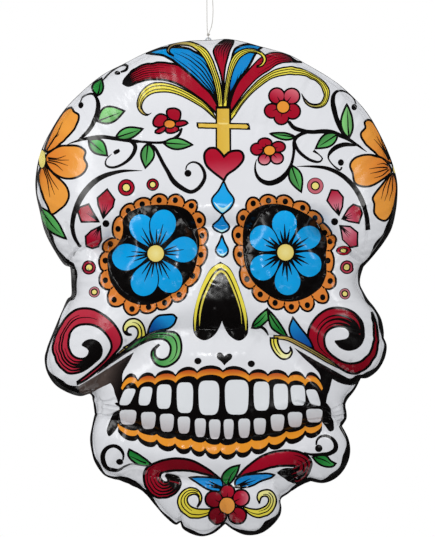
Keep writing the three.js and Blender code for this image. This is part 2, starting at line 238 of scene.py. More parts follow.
# The skull's outline in the drawing, lobe by lobe from the left brow over the top, and how wide the
# printed black contour is there: (u, v, contour)
OUTLINE = [
    [(70, 267, 3.8), (64.8, 265, 3.6), (54, 250, 4.2), (44.7, 231.4, 3.8), (39.4, 210, 2.2), (36, 194, 1.8),
     (35.4, 180.5, 1.4), (38, 161.8, 0.9), (42, 148.4, 0.7), (50, 132.3, 0.5), (63.5, 110.9, 0.4),
     (79, 94.4, 0.4), (102, 75.3, 0.4), (126.3, 62.5, 0.3), (146.7, 52.3, 0.3), (168.4, 44.6, 0.3),
     (187.6, 41, 0.3), (213, 40, 0.3), (227, 38.9, 0.3), (244.6, 42, 0.3), (261.2, 46.6, 0.3),
     (289.3, 54.8, 0.3), (305.9, 63.8, 0.3), (327.6, 76.5, 0.3), (340.3, 85.5, 0.3), (357.6, 101.5, 0.4),
     (369.6, 116.2, 0.5), (380.3, 135, 0.6), (391, 159, 0.9), (397, 180.5, 1.4), (397.5, 194, 2),
     (395.8, 211.3, 3), (391.4, 229.2, 4.2), (383.8, 242.4, 5), (376, 252.7, 4), (370.5, 259.3, 3.6),
     (363.4, 267, 3)],
    [(363.4, 267, 3), (360.3, 278.7, 1.6), (360.3, 284.8, 1.5), (363.9, 292.4, 1.8), (368.5, 300, 2.4),
     (374.2, 307, 2.4), (381.2, 319, 2.6), (383.8, 331.9, 2.4), (383.8, 337.6, 2)],
    [(383.8, 337.6, 2), (386.6, 344.6, 2.6), (386.3, 352.3, 2.8), (383.8, 360.6, 2.8), (377.4, 370.8, 3.4),
     (367.2, 378.1, 3.4), (360.8, 378.4, 2.4)],
    [(360.8, 378.4, 2.4), (358.8, 382.3, 2.6), (354.2, 390.7, 2.6), (347.3, 399.9, 2.2), (345.4, 405.2, 2),
     (346.5, 412, 2.2), (346.5, 418.3, 2.2), (342, 426, 2)],
    [(342, 426, 2), (345.4, 432, 2.6), (348.8, 439.7, 3.6), (350.3, 449.6, 4), (348.8, 459.6, 4.6),
     (343.5, 470.3, 4.6), (335, 478.7, 4.6), (323.6, 482.9, 4), (310.5, 481.2, 3)],
    [(310.5, 481.2, 3), (299.6, 486, 2.8), (288.7, 493.3, 2), (280.8, 499.4, 1.4), (281.5, 507.9, 2),
     (280.2, 515.1, 3), (273, 524.8, 4.4), (260.9, 533.3, 4.8), (246.3, 535.1, 3.6), (233, 529.7, 2.2),
     (225.3, 524, 1.4)],
    [(225.3, 524, 1.4), (213.6, 533.3, 2), (202.7, 536.3, 2.8), (193, 534.5, 2.8), (182.7, 528.5, 2.4),
     (180.3, 522.4, 1.6)],
    [(180.3, 522.4, 1.6), (176, 524.8, 1.8), (166, 517.5, 2), (154, 504, 2.2), (148.3, 497, 2.4),
     (143, 491.7, 2.6), (134, 486.4, 4.4), (119.4, 480.2, 3.6)],
    [(119.4, 480.2, 3.6), (112.5, 478.7, 2.8), (104, 474.9, 1.6), (95, 462.6, 2.4), (91.9, 452.7, 2),
     (90, 438.9, 2), (92.2, 425, 1.8), (94.6, 413.7, 1.6)],
    [(94.6, 413.7, 1.6), (91.8, 397, 1.8), (89.8, 393.8, 3)],
    [(89.8, 393.8, 3), (79.6, 396.3, 7), (62.4, 390, 6.4), (53.5, 383, 4.6), (46.5, 370.8, 2.8),
     (44.6, 357.4, 1.9), (47, 348, 1.6)],
    [(47, 348, 1.6), (47.8, 345.3, 1.8), (54, 330, 1.8), (62, 311, 1.6), (67.8, 298.5, 2.2), (71, 296, 3),
     (71.4, 283, 4.9), (71, 272, 4.6), (70, 267, 3.8)],
]

# Ties between the films: places on the drawing, the share of the depth that the tie takes away at its ends
# and in its middle, and how far the film is drawn in beside it. They are those of the CAD
TIES = [
    ([(140, 133), (187, 123), (223, 122), (250, 125), (281, 130), (310, 143)], 0.03, 0.06, 0.034),
    ([(70, 267), (78, 252), (92, 249), (112, 246)], 0.42, 0.22, 0.032),
    ([(190, 229), (222, 226), (250, 230)], 0.12, 0.15, 0.026),
    ([(318, 228), (326, 235), (341, 245), (363.4, 267)], 0.42, 0.22, 0.032),
    (
        [
            (89.8, 393.8), (103, 374), (119, 358), (134, 350), (151, 332), (188, 328), (221, 329), (250, 327),
            (262, 333), (288, 340), (320, 361), (342, 375), (360.8, 378.4),
        ],
        0.42, 0.16, 0.034,
    ),
    (
        [
            (94.6, 413.7), (124, 421), (160, 430), (205, 435), (240, 436), (285, 430), (318, 421), (342, 426),
        ],
        0.4, 0.16, 0.032,
    ),
    (
        [
            (119.4, 480.2), (140, 475), (166, 476), (190, 478.5), (226, 479), (262, 478.5), (290, 476),
            (310.5, 481.2),
        ],
        0.3, 0.2, 0.028,
    ),
]
# Weld ring round each eye: its middle, half width and half height
EYE_RINGS = [(153.1, 253.8, 44.5, 48.6), (284.6, 252.8, 40.3, 47.2)]
EYE_DIP, EYE_REACH = 0.1, 0.022
# Folds of the front film: places on the drawing, depth and half width
FOLDS = [
    ([(66, 222), (70, 240), (73, 258)], 0.002, 0.0022),
    ([(84, 243), (76, 250), (66, 263)], 0.0022, 0.0016),
    ([(110, 238), (98, 242), (84, 248)], 0.0017, 0.0018),
    ([(127, 236), (119, 243), (112, 252)], 0.0014, 0.0016),
    ([(366, 206), (367, 228), (366, 248)], 0.002, 0.0022),
    ([(322, 230), (340, 246), (363, 263)], 0.0024, 0.0018),
    ([(342, 236), (353, 247), (364, 256)], 0.0017, 0.0016),
    ([(90, 394), (102, 402), (116, 399)], 0.0017, 0.0018),
    ([(97, 403), (108, 406), (120, 408)], 0.002, 0.0015),
    ([(94, 415), (110, 416), (122, 410)], 0.002, 0.0018),
    ([(98, 396), (101, 405), (100, 416)], 0.0013, 0.002),
    ([(296, 401), (314, 406), (333, 412)], 0.0022, 0.0014),
    ([(328, 418), (336, 417), (346, 415)], 0.002, 0.0016),
    ([(330, 411), (337, 408), (345, 403)], 0.0017, 0.0016),
    ([(302, 421), (312, 420), (326, 418)], 0.0013, 0.0014),
    ([(118, 471), (134, 466), (150, 468)], 0.0017, 0.002),
    ([(156, 472), (170, 475), (186, 479)], 0.0017, 0.0018),
    ([(274, 474), (294, 470), (311, 460)], 0.0022, 0.0018),
    ([(288, 483), (298, 478), (308, 470)], 0.0017, 0.0016),
]


# The shape of a blown-up film

def ellipse(u, v, wide, tall, count):
    """Points round an ellipse."""
    turn = turns(count)
    return np.stack([u + wide * np.cos(turn), v + tall * np.sin(turn)], -1)


RIM_STEP = 1.2
rim_drawn = np.vstack([smooth(lobe, step=RIM_STEP)[:-1] for lobe in OUTLINE])
rim_xz = on_seam(rim_drawn[:, :2])
# The centre that the CAD's outline goes round, in shares of the film's width and height
CENTRE_ASIDE, CENTRE_UP = 0.001, 0.495
CENTRE = np.array([
    CENTRE_ASIDE * (film_high.x - film_low.x) + (film_low.x + film_high.x) / 2,
    film_low.z + CENTRE_UP * (film_high.z - film_low.z),
])


def polar(points):
    """How far points are from the centre, and at which angle."""
    x, z = (points - CENTRE).T
    return np.hypot(x, z), np.arctan2(z, x)


# The CAD's rounder outline is a mean over 11 of its 96 rim steps; here it is the same share of many more
SMOOTH_SHARE = 11 / 96
EVEN_COUNT = 960
even_rim = even(rim_xz, True, lengths(closed_line(rim_xz)).sum() / EVEN_COUNT)
even_radius, even_angle = polar(even_rim)
window = round(SMOOTH_SHARE * len(even_rim)) // 2
smooth_radius = np.mean([np.roll(even_radius, k) for k in range(-window, window + 1)], axis=0)
by_angle = np.argsort(even_angle)
even_along = np.arange(len(even_rim)) * np.linalg.norm(even_rim[1] - even_rim[0])


def round_rim(values, angle):
    """Values of the even rim, read at other angles."""
    return np.interp(angle, even_angle[by_angle], values[by_angle], period=2 * np.pi)


def nearest_on(line, points):
    """How far points are from a run of short lines, and how far along it they are nearest."""
    nearest = np.full(len(points), np.inf)
    along = np.zeros(len(points))
    for first, ahead, long, before in zip(line, np.diff(line, axis=0), lengths(line), passed(line)):
        away = points - first
        share = np.clip(away @ ahead / long**2, 0, 1)
        distance = np.hypot(away[:, 0] - share * ahead[0], away[:, 1] - share * ahead[1])
        closer = distance < nearest
        nearest[closer] = distance[closer]
        along[closer] = before + share[closer] * long
    return nearest, along


# How finely the ties and the rings round the eyes are drawn
TIE_DRAWN_STEP = 8
EYE_RING_SIDES = 36
tie_lines = [(on_seam(smooth(places, step=TIE_DRAWN_STEP)), *rest) for places, *rest in TIES]
for ring in EYE_RINGS:
    tie_lines.append((on_seam(closed_line(ellipse(*ring, EYE_RING_SIDES))), EYE_DIP, EYE_DIP, EYE_REACH))

# An uneven ripple is a sum of waves: the share, pace and phase of each
RIPPLE_WAVES = ((1, 1, 1), (0.6, 1.73, 2.1), (0.5, 0.61, 0.7))
RIPPLE_PEAK = 1.7
# Puckers beside a seam or tie: height, length of one along the line, and how far they reach
RIM_PUCKER = (0.0011, 0.017, 0.02)
TIE_PUCKER = (0.0008, 0.013, 0.013)
# What shifts the puckers of the seam and those of each further tie
RIM_PHASE, TIE_PHASE = 0.4, 1.3
# The share of its reach over which a pucker rises beside its line
PUCKER_RISE = 0.25
# Folds: the step along one, how soon its lips fade, and in half widths the rows of points across it and
# how far it still counts
FOLD_STEP = 1.3
FOLD_FADE = 1.6
FOLD_ROWS = (-2.2, -1.5, -1, -0.5, 0, 0.5, 1, 1.5, 2.2)
FOLD_NEAR = 5
# How finely the film's arc is worked out, how late its rounder outline gives way to the true one, what keeps
# its slope from growing without end at the seam, and how often a line of sight is followed to the film
ARC_COUNT = 2000
ROUNDER_POWER = 6
STEEPEST = 0.02
SIGHT_ROUNDS = 3


def wave(along, length, phase):
    """An uneven ripple along a line, between about -1 and 1."""
    turn = 2 * np.pi * along / length
    ripple = sum(share * np.sin(pace * turn + shift * phase) for share, pace, shift in RIPPLE_WAVES)
    return ripple / RIPPLE_PEAK


def fold(distance, share, depth, half):
    """A fold with a raised lip on each side, which dies away at its ends."""
    out = (distance / half) ** 2
    fading = np.sqrt(np.clip(4 * share * (1 - share), 0, 1))
    return -depth * fading * (1 - out) * np.exp(-out / FOLD_FADE)


def pucker(distance, along, form, phase):
    """Puckers that fade away from the line that gathers the film."""
    height, length, reach = form
    at_line = 1 - np.exp(-((distance / (PUCKER_RISE * reach)) ** 2))
    return height * at_line * np.exp(-distance / reach) * wave(along, length, phase)


class Film:
    """One blown-up film. Its flat pattern is the seam's plane, stretched away from the centre until the film
    has about the area that it needs to swell."""

    def __init__(self, side, depth, tie_share, flat_share):
        """A film on one side of the seam: its depth, how strongly the ties hold it and its flat middle."""
        self.side = side
        self.depth = depth
        self.tie_share = tie_share
        self.flat_share = flat_share
        self.folds = []
        slope = depth / (even_radius.mean() - SEAM_WIDTH)
        share = np.linspace(0, 1, ARC_COUNT) ** 0.5
        middle = (share[1:] + share[:-1]) / 2
        run = np.sqrt(1 + slope**2 * middle**2 / (1 - middle**2)) * np.diff(share)
        self.shares = share
        self.arcs = np.concatenate([[0], np.cumsum(run)])

    def flattened(self, points):
        """Where places of the seam's plane lie on the flat film."""
        radius, angle = polar(points)
        foot = round_rim(even_radius, angle) - SEAM_WIDTH
        share = radius / foot
        on_film = np.interp(share, self.shares, self.arcs) * foot
        flat = np.where(share <= 1, on_film, self.arcs[-1] * foot + radius - foot)
        return CENTRE + (points - CENTRE) * (flat / np.maximum(radius, LEAST))[:, None]

    def unflattened(self, flat_points):
        """The places of the seam's plane that points of the flat film come from."""
        radius, angle = polar(flat_points)
        foot = round_rim(even_radius, angle) - SEAM_WIDTH
        arc = radius / foot
        on_film = np.interp(arc, self.arcs, self.shares) * foot
        place = np.where(arc <= self.arcs[-1], on_film, foot + radius - self.arcs[-1] * foot)
        return CENTRE + (flat_points - CENTRE) * (place / np.maximum(radius, LEAST))[:, None]

    def blown(self, points):
        """Where the film's points over places of the seam's plane lie once it is blown up."""
        radius, angle = polar(points)
        whole = round_rim(even_radius, angle)
        foot = whole - SEAM_WIDTH
        share = np.clip(radius / foot, 0, 1)
        rounder = round_rim(smooth_radius, angle)
        blended = rounder + (whole - rounder) * share**ROUNDER_POWER
        bent = np.clip(share * whole / blended, 0, 1)
        bent = np.clip((bent - self.flat_share) / (1 - self.flat_share), 0, 1)
        drawn_in = np.ones(len(points))
        ruffle = pucker((1 - share) * foot, round_rim(even_along, angle), RIM_PUCKER, RIM_PHASE)
        for k, (line, rim_dip, mid_dip, reach) in enumerate(tie_lines):
            distance, along = nearest_on(line, points)
            dip = rim_dip + (mid_dip - rim_dip) * np.sin(np.pi * along / lengths(line).sum())
            drawn_in *= 1 - self.tie_share * dip * np.clip(1 - distance / reach, 0, 1) ** 2
            ruffle += pucker(distance, along, TIE_PUCKER, TIE_PHASE * k) * drawn_in
        for line, fold_depth, half in self.folds:
            reach = np.ptp(line, axis=0) / 2 + FOLD_NEAR * half
            near = np.all(np.abs(points - line.mean(0)) < reach, axis=1)
            distance, along = nearest_on(line, points[near])
            ruffle[near] += fold(distance, along / lengths(line).sum(), fold_depth, half)
        height = self.depth * np.sqrt(1 - bent**2) * drawn_in
        leaning = share / np.sqrt(np.maximum(1 - share**2, STEEPEST)) * self.depth / foot
        push = ruffle / np.sqrt(1 + leaning**2)
        outward = (points - CENTRE) / np.maximum(radius, LEAST)[:, None]
        flat = points + outward * (push * leaning)[:, None]
        y = SEAM_Y + self.side * (OUTER_LIFT + height + np.maximum(push, -height))
        return np.stack([flat[:, 0], y, flat[:, 1]], -1)

    def seen_from(self, places):
        """The places of the seam's plane over which the film shows at these places of the drawing."""
        target = on_seam(places)
        found = target.copy()
        for _ in range(SIGHT_ROUNDS):
            ahead = SEAM_Y - self.blown(found)[:, 1]
            found = PICTURE_XZ + (target - PICTURE_XZ) * (1 - ahead / CAMERA_DISTANCE)[:, None]
        return found

    def shown_at(self, blown_points):
        """The places of the drawing that points of the film show at."""
        ahead = SEAM_Y - blown_points[:, 1]
        xz = blown_points[:, [0, 2]]
        return on_drawing(PICTURE_XZ + (xz - PICTURE_XZ) / (1 - ahead / CAMERA_DISTANCE)[:, None])


front = Film(-1, FACE_DEPTH, 1, 0)
back = Film(1, BACK_DEPTH, BACK_TIE_SHARE, VALVE_SEAT_SHARE)
front.folds = [
    (front.seen_from(smooth(places, step=FOLD_STEP)), depth, half) for places, depth, half in FOLDS
]


# The print. Its parts are laid down one over the other, each as a closed outline with its ink.

# Inks
BLACK = (0.045, 0.035, 0.035)
WHITE = (0.905, 0.908, 0.92)
CRIMSON = (0.66, 0.03, 0.15)
DEEP_RED = (0.46, 0.02, 0.09)
PAINTED_HIGHLIGHT_RED = (0.86, 0.5, 0.54)
ROSE = (0.93, 0.68, 0.72)
ORANGE = (0.93, 0.6, 0.2)
RUST = (0.74, 0.3, 0.1)
SCALLOP = (0.87, 0.5, 0.19)
GUM = (0.93, 0.59, 0.15)
BLUE = (0.01, 0.66, 0.93)
PLUME_BLUE = (0.04, 0.54, 0.82)
DEEP_BLUE = (0.04, 0.28, 0.6)
GREEN = (0.32, 0.64, 0.33)
PALE_GREEN = (0.47, 0.74, 0.43)
DEEP_GREEN = (0.08, 0.46, 0.17)
YELLOW = (0.94, 0.88, 0.3)
GOLD = (0.9, 0.75, 0.3)
OLIVE = (0.6, 0.53, 0.3)
CREAM = (0.94, 0.88, 0.5)
TOOTH = (0.9, 0.91, 0.92)
TOOTH_SHADE = (0.82, 0.8, 0.81)

# How wide a contour is, how much broader black prints than it is drawn, and how much darker and paler than
# its ink a leaf's halves are, and the palest that they get
LINE = 1.6
PEN = 1.3
DARKER, PALER, PALEST = 0.8, 1.15, 0.9
# How finely ornaments are drawn
FEWEST_SIDES = 12
FLOWER_SIDES = 20
LEAF_STEPS = 7
PETAL_STEPS, TIP_STEPS, TIP_START = 7, 5, 0.2
# How late a leaf and a petal widen, how unevenly the lines across a band end, and how wide lines of shading
# are along their way
LEAF_POWER, PETAL_POWER = 0.85, 1.1
RULE_PACE = 2.3
LEAF_VEIN, PETAL_VEIN = (1.4, 1.1, 0.9, 0.2), (1.6, 1.2, 0.2)
HATCH, KITE_HATCH = (1.5, 1.0, 0.2), (1.5, 0.8, 0.2)
layers = []


def lay(loop, ink):
    """The next layer of the print."""
    layers.append((np.asarray(loop, float), ink))


def fade(first, last, start, end):
    """An ink that changes evenly from one place of the drawing to another."""
    start, run = np.asarray(start, float), np.subtract(end, start).astype(float)

    def ink(places):
        """The colour at each place."""
        share = np.clip((places - start) @ run / (run @ run), 0, 1)[:, None]
        return np.asarray(first) * (1 - share) + np.asarray(last) * share

    return ink


def glow(middle_ink, edge_ink, middle, radius):
    """An ink that changes from a middle outwards."""

    def ink(places):
        """The colour at each place."""
        share = np.clip(np.linalg.norm(places - middle, axis=1) / radius, 0, 1)[:, None]
        return np.asarray(middle_ink) * (1 - share) + np.asarray(edge_ink) * share

    return ink


def outline_of(*sides):
    """A closed outline: one round curve, or smooth sides that meet at corners."""
    if len(sides) == 1:
        return smooth(sides[0], closed=True)
    return np.vstack([smooth(side)[:-1] for side in sides])


def framed(loop, ink, line=LINE, out=0.5):
    """An outline filled with ink, with a black line along it that lies outside by a share of its width."""
    lay(grown(loop, PEN * line * out), BLACK)
    lay(grown(loop, -PEN * line * (1 - out)), ink)


def patch(ink, *sides, line=LINE):
    """A patch of ink with a black line round it."""
    framed(outline_of(*sides), ink, line)


def beside(line, offset):
    """A line drawn beside another, offset to its left."""
    run = np.gradient(line, axis=0)
    run /= np.maximum(np.linalg.norm(run, axis=1, keepdims=True), LEAST)
    return line + to_left(run) * np.reshape(offset, (-1, 1))


def widths_along(line, widths):
    """A few widths, spread evenly over all points of a line."""
    return np.interp(np.linspace(0, 1, len(line)), np.linspace(0, 1, len(widths)), widths)


def brush(line, widths, ink=BLACK):
    """A brush stroke along a line, whose width changes along it."""
    half = widths_along(line, widths) / 2 * (PEN if ink is BLACK else 1)
    lay(np.vstack([beside(line, half), beside(line, -half)[::-1]]), ink)


def stroke(places, widths, ink=BLACK):
    """A smooth brush stroke through places."""
    brush(smooth(places), widths, ink)


def rules(count, start, end, widths, uneven=0.06):
    """Lines evenly spread across a band, each with its share of the way across, where along the band it
    starts and ends, and its widths. Their thin ends are uneven."""
    found = []
    for k in range(count):
        shift = uneven * math.sin(RULE_PACE * k + 1)
        thin_start = widths[0] < widths[-1]
        across = (k + 1) / (count + 1)
        found.append((across, start + shift * thin_start, end + shift * (not thin_start), widths))
    return found


def band(ink, one, other, lines=(), line=LINE, head=0.0, out=0.5):
    """A band of ink between two edges, given as matched places, with lines along it and a black head."""
    both = smooth(np.hstack([one, other]))
    one, other = both[:, :2], both[:, 2:]
    framed(np.vstack([one, other[::-1]]), ink, line, out)
    for share, start, end, widths in lines:
        first, last = round(max(start, 0) * (len(both) - 1)), round(min(end, 1) * (len(both) - 1))
        brush((one + (other - one) * share)[first : last + 1], widths)
    if head:
        last = round(head * len(both))
        lay(np.vstack([one[:last], other[:last][::-1]]), BLACK)


def dot(u, v, wide, ink=BLACK, tall=None):
    """A dot of ink, round unless it is said how tall it is."""
    tall = tall or wide
    count = max(FEWEST_SIDES, round(2 * np.pi * wide / STEP))
    lay(ellipse(u, v, wide, tall, count), ink)


def ringed_dot(u, v, radius, ink=CRIMSON, heart=0.4, squash=1.0, line=1.3, inner_line=1.4):
    """A red dot with a cream middle."""
    middle = radius * heart
    rings = ((radius, BLACK), (radius - line, ink), (middle + inner_line, BLACK), (middle, CREAM))
    for wide, colour in rings:
        dot(u, v, wide, colour, wide * squash)


def left_of(run):
    """The direction to the left of a run, one unit long."""
    return np.array([run[1], -run[0]]) / np.hypot(*run)


def between(start, end, share, bow=0.0):
    """A place part of the way from one to another, off to the left of the way by bow."""
    start, end = np.asarray(start, float), np.asarray(end, float)
    run = end - start
    return start + run * share + left_of(run) * bow * 4 * share * (1 - share)


def leaf(base, tip, left_wide, right_wide, bow=0.0, ink=GREEN):
    """A leaf with two pointed ends and a vein between a darker and a paler half."""
    base, tip = np.asarray(base, float), np.asarray(tip, float)
    left = left_of(tip - base)
    shares = np.linspace(0, 1, LEAF_STEPS)
    vein = [between(base, tip, s, bow) for s in shares]
    one = [at + left * left_wide * np.sin(np.pi * s**LEAF_POWER) for at, s in zip(vein, shares)]
    other = [at - left * right_wide * np.sin(np.pi * s**LEAF_POWER) for at, s in zip(vein, shares)]
    middle = np.asarray(vein[LEAF_STEPS // 2])
    across = left * (left_wide + right_wide) / 2
    dark, pale = np.asarray(ink) * DARKER, np.minimum(np.asarray(ink) * PALER, PALEST)
    patch(fade(dark, pale, middle - across, middle + across), one, other[::-1])
    stroke(vein[:-1], LEAF_VEIN)


def petal_loop(base, tip, wide, widest=0.64):
    """A rounded petal's outline, narrow at its base."""
    base, tip = np.asarray(base, float), np.asarray(tip, float)
    run = tip - base
    left = left_of(run)
    tip_shares = np.sin(np.linspace(TIP_START, 1, TIP_STEPS) * np.pi / 2)
    shares = np.concatenate([np.linspace(0, widest, PETAL_STEPS), widest + (1 - widest) * tip_shares])
    narrow = np.where(
        shares < widest,
        np.sin(np.pi / 2 * shares / widest) ** PETAL_POWER,
        np.sqrt(np.maximum(1 - ((shares - widest) / (1 - widest)) ** 2, 0)),
    )
    one = [base + run * s + left * wide / 2 * w for s, w in zip(shares, narrow)]
    other = [base + run * s - left * wide / 2 * w for s, w in zip(shares, narrow)]
    return np.array(one[:-1] + other[:0:-1])


def hatch(start, end, widths=HATCH, bow=0.0):
    """A short line of shading."""
    stroke([between(start, end, s, bow) for s in (0, 0.5, 1)], widths)


def at_turn(middle, degrees, distance):
    """The place at a bearing from a middle: 0 to the right and 90 up."""
    turn = math.radians(degrees)
    return np.array([middle[0] + distance * math.cos(turn), middle[1] - distance * math.sin(turn)])


def round_flower(petals, heart, line=0.9, heart_line=0.7, vein_end=0.95):
    """A small flower of round petals: middle, half width, half height and ink of each, and of its heart."""
    loops = [ellipse(*petal[:4], FLOWER_SIDES) for petal in petals]
    for loop in loops:
        lay(grown(loop, line), BLACK)
    middle = np.array(heart[:2])
    for loop, petal in zip(loops, petals):
        lay(grown(loop, -line), petal[4])
        hatch(middle, between(middle, petal[:2], vein_end), PETAL_VEIN)
    u, v, wide, tall, ink = heart
    dot(u, v, wide + heart_line, BLACK, tall + heart_line)
    dot(u, v, wide - heart_line, ink, tall - heart_line)


# How much broader the edge's contour prints than it is drawn, how its width changes along the edge, in
# waves of a share, pace and shift, and how far the black reaches beyond the edge
CONTOUR = 1.25
BRUSH_WAVES = ((0.2, 310, 0), (0.14, 173, 1))
CONTOUR_SPARE = 3


def contour():
    """The black contour along the skull's edge, uneven like a brush's, round the film's white."""
    rim = turned_out(rim_drawn[:, :2])
    width = rim_drawn[:, 2] if np.all(rim[0] == rim_drawn[0, :2]) else rim_drawn[::-1, 2]
    along = np.linspace(0, 1, len(rim))
    uneven = sum((share * np.sin(along * pace + shift) for share, pace, shift in BRUSH_WAVES), 1)
    width = CONTOUR * width * uneven
    inward = -to_left(unit(around(rim, 2)))
    return [(grown(rim, CONTOUR_SPARE), BLACK), (rim + inward * width[:, None], WHITE)]


def draw_plumes():
    """The fan of curls and feathers above the cross."""
    lay(
        outline_of(
            [(217, 113), (211, 101), (217, 91), (223, 88), (229, 90), (236, 94), (234.5, 104), (231, 114)],
            [(231, 114), (224, 114.6), (217, 113)],
        ),
        BLACK,
    )
    band(
        glow((0.5, 0.45, 0.36), YELLOW, np.array((303, 102)), 22),
        [(230.1, 113.4), (235.2, 106.7), (241.6, 97.8), (249.2, 88.9), (258.2, 80), (267.1, 73.6),
         (276, 69.1), (286.2, 66.6), (294, 66.6), (301.6, 68.3), (311.8, 72.7), (320.8, 78.5), (327.1, 84.8),
         (329.7, 92.5), (328.4, 100.2), (324.6, 105.9), (318.2, 108.4), (310.6, 107.2), (304.8, 102.7),
         (301.6, 93.8)],
        [(230.9, 121), (235.6, 115), (242.9, 104.2), (251.8, 94), (260.7, 86.3), (269.6, 80), (278.6, 76.6),
         (288.8, 75), (295, 74.9), (301.6, 75.7), (309, 77.9), (315.4, 81.2), (320.4, 86), (323, 92),
         (323.6, 96.3), (320.8, 102.1), (316.4, 103.8), (310.4, 103), (305.6, 99), (301.8, 93.6)],
        [(0.35, 0, 0.9, (0.5, 0.8, 0.7, 0.5)), (0.66, 0.04, 0.94, (0.5, 0.8, 0.7, 0.5))], line=1.15,
        out=0.2,
    )
    band(
        fade((0.45, 0.28, 0.29), CRIMSON, (299, 61), (280, 60)),
        [(301.5, 62), (296.4, 60.8), (288.8, 55.7), (282.4, 53.4), (276, 52.5), (269.6, 53.2), (263, 56.6),
         (256, 62), (246.7, 72.3), (240.3, 79.7), (235.2, 88.6), (232, 97.5), (229.5, 108)],
        [(301.5, 62.4), (296, 62.2), (290, 62.1), (284, 62.4), (277.6, 64.4), (270, 69.4), (263.4, 73.6),
         (257, 78.4), (249.4, 86.1), (243.4, 93.4), (238, 100.9), (234, 106.8), (230.4, 111.8)],
        rules(4, 0.06, 0.42, (0.5, 0.6, 0.2)), line=1.2,
    )
    patch(
        fade(DEEP_BLUE, PLUME_BLUE, (231, 96), (236, 78)),
        [(229.6, 97), (229, 80), (231.2, 62), (235.2, 49.3), (241.6, 45.5), (249.2, 44.2), (256, 44.9),
         (263.6, 46.4)],
        [(263.6, 46.4), (259.5, 48.8), (255, 54.4), (250.5, 63.4), (246.7, 69.7), (240.3, 77.4),
         (235.2, 85.1), (229.6, 97)],
        line=1.9,
    )
    for end in ((246, 67), (242, 70.6), (238.4, 74)):
        hatch((231.6, 92), end, (2.4, 1.2, 0.2), -0.8)
    hatch((262, 46.6), (257, 51), (1.6, 1.6, 1.4))
    band(
        YELLOW,
        [(222.8, 109), (223.9, 94), (225.4, 83.8), (227.4, 72.3), (230.1, 62.5), (234.4, 54.8), (240.3, 50.2),
         (249.2, 48.3), (256.9, 49.6), (263.5, 53.6), (266.3, 58.9), (265.4, 62.6), (262, 66.4),
         (256.9, 67.4)],
        [(226.9, 109), (227.8, 96.5), (229.7, 85.1), (232, 74.8), (235.2, 65.9), (239.7, 58.3), (245.4, 54),
         (251.8, 52.7), (258.2, 53.8), (262, 57), (263.1, 59.6), (262.7, 61.6), (260.6, 64.6), (257, 66)],
        [(0.36, 0.05, 0.8, (0.5, 0.75, 0.6)), (0.68, 0.08, 0.76, (0.5, 0.75, 0.6))], line=1.15, out=0.45,
    )
    band(
        fade((0.3, 0.2, 0.21), CRIMSON, (229, 40), (222, 57)),
        [(231, 39.3), (227.6, 39), (222.4, 41), (216.1, 46.1), (213.5, 50.6), (214.8, 57), (218.6, 67.2),
         (221.2, 76.1), (222.6, 86.3), (223, 97)],
        [(232, 39.5), (233.6, 41), (233, 43.6), (231.6, 46.8), (229.6, 51), (227.6, 57.6), (225.8, 64.6),
         (224.5, 73), (223.8, 83.8), (223.6, 97)],
        rules(5, 0.03, 0.4, (0.8, 0.8, 0.2)), line=1.5,
    )
    band(
        fade(DEEP_RED, CRIMSON, (124, 84), (138, 78)),
        [(123.4, 83.6), (124.2, 80), (130.6, 72.3), (140.8, 65.9), (151, 63.4), (163.8, 62.7), (176.5, 64.6),
         (186.7, 67.8), (194.4, 73.6), (202, 81.2), (208.4, 88.9), (214.8, 97.8), (219.9, 107.5)],
        [(123.6, 83.9), (128, 85.7), (135.4, 83.4), (143.4, 80.6), (153.6, 79.3), (163.8, 79.9), (174, 82.5),
         (182.2, 86.4), (189.6, 91), (196.4, 95.8), (203, 100.6), (209.4, 106.4), (216.1, 113.1)],
        rules(6, 0.03, 0.42, (1.5, 0.8, 0.6, 0.2), 0.09), line=1.8, head=0.04,
    )
    band(
        fade(BLUE, PLUME_BLUE, (150, 50), (175, 60)),
        [(147, 52.8), (156.1, 49.6), (167.6, 47.4), (181.6, 47.4), (194.4, 51.3), (203.3, 57), (208.4, 63),
         (212.2, 71), (215.4, 80), (218, 91.4), (219.9, 106.7)],
        [(147, 53.2), (156, 54.4), (163.8, 55.7), (171.4, 59.5), (181.6, 67.2), (189.3, 73.6), (196.4, 79.6),
         (202.6, 85.9), (208, 90.6), (212.8, 96.6), (218.6, 107)],
        rules(5, 0.34, 0.98, (0.2, 1, 1.1, 0.7), 0.1), line=2.0, head=0.05,
    )
    band(
        fade((0.6, 0.52, 0.36), YELLOW, (176, 43), (199, 49)),
        [(223.3, 109), (221.8, 91.4), (219.7, 80), (215.8, 68.5), (212.6, 59.5), (207.5, 51), (200.8, 45.7),
         (193.1, 42.4), (184.2, 41.1), (175.3, 42.4), (169.3, 45.2), (166.7, 50.6), (168.9, 53.9),
         (173.4, 56.2)],
        [(218.2, 109), (216.3, 94), (213.8, 82.5), (210.6, 72.3), (206.7, 63.4), (201.8, 55.4), (195.7, 49.1),
         (189.3, 46), (181.6, 45.2), (174.4, 46), (170.6, 48.4), (169.6, 51.4), (170.9, 53.6), (173.6, 55.4)],
        [(0.36, 0.04, 0.66, (0.6, 0.9, 0.8, 0.4)), (0.68, 0.04, 0.62, (0.6, 0.9, 0.8, 0.4))], line=1.25,
        out=0.4,
    )
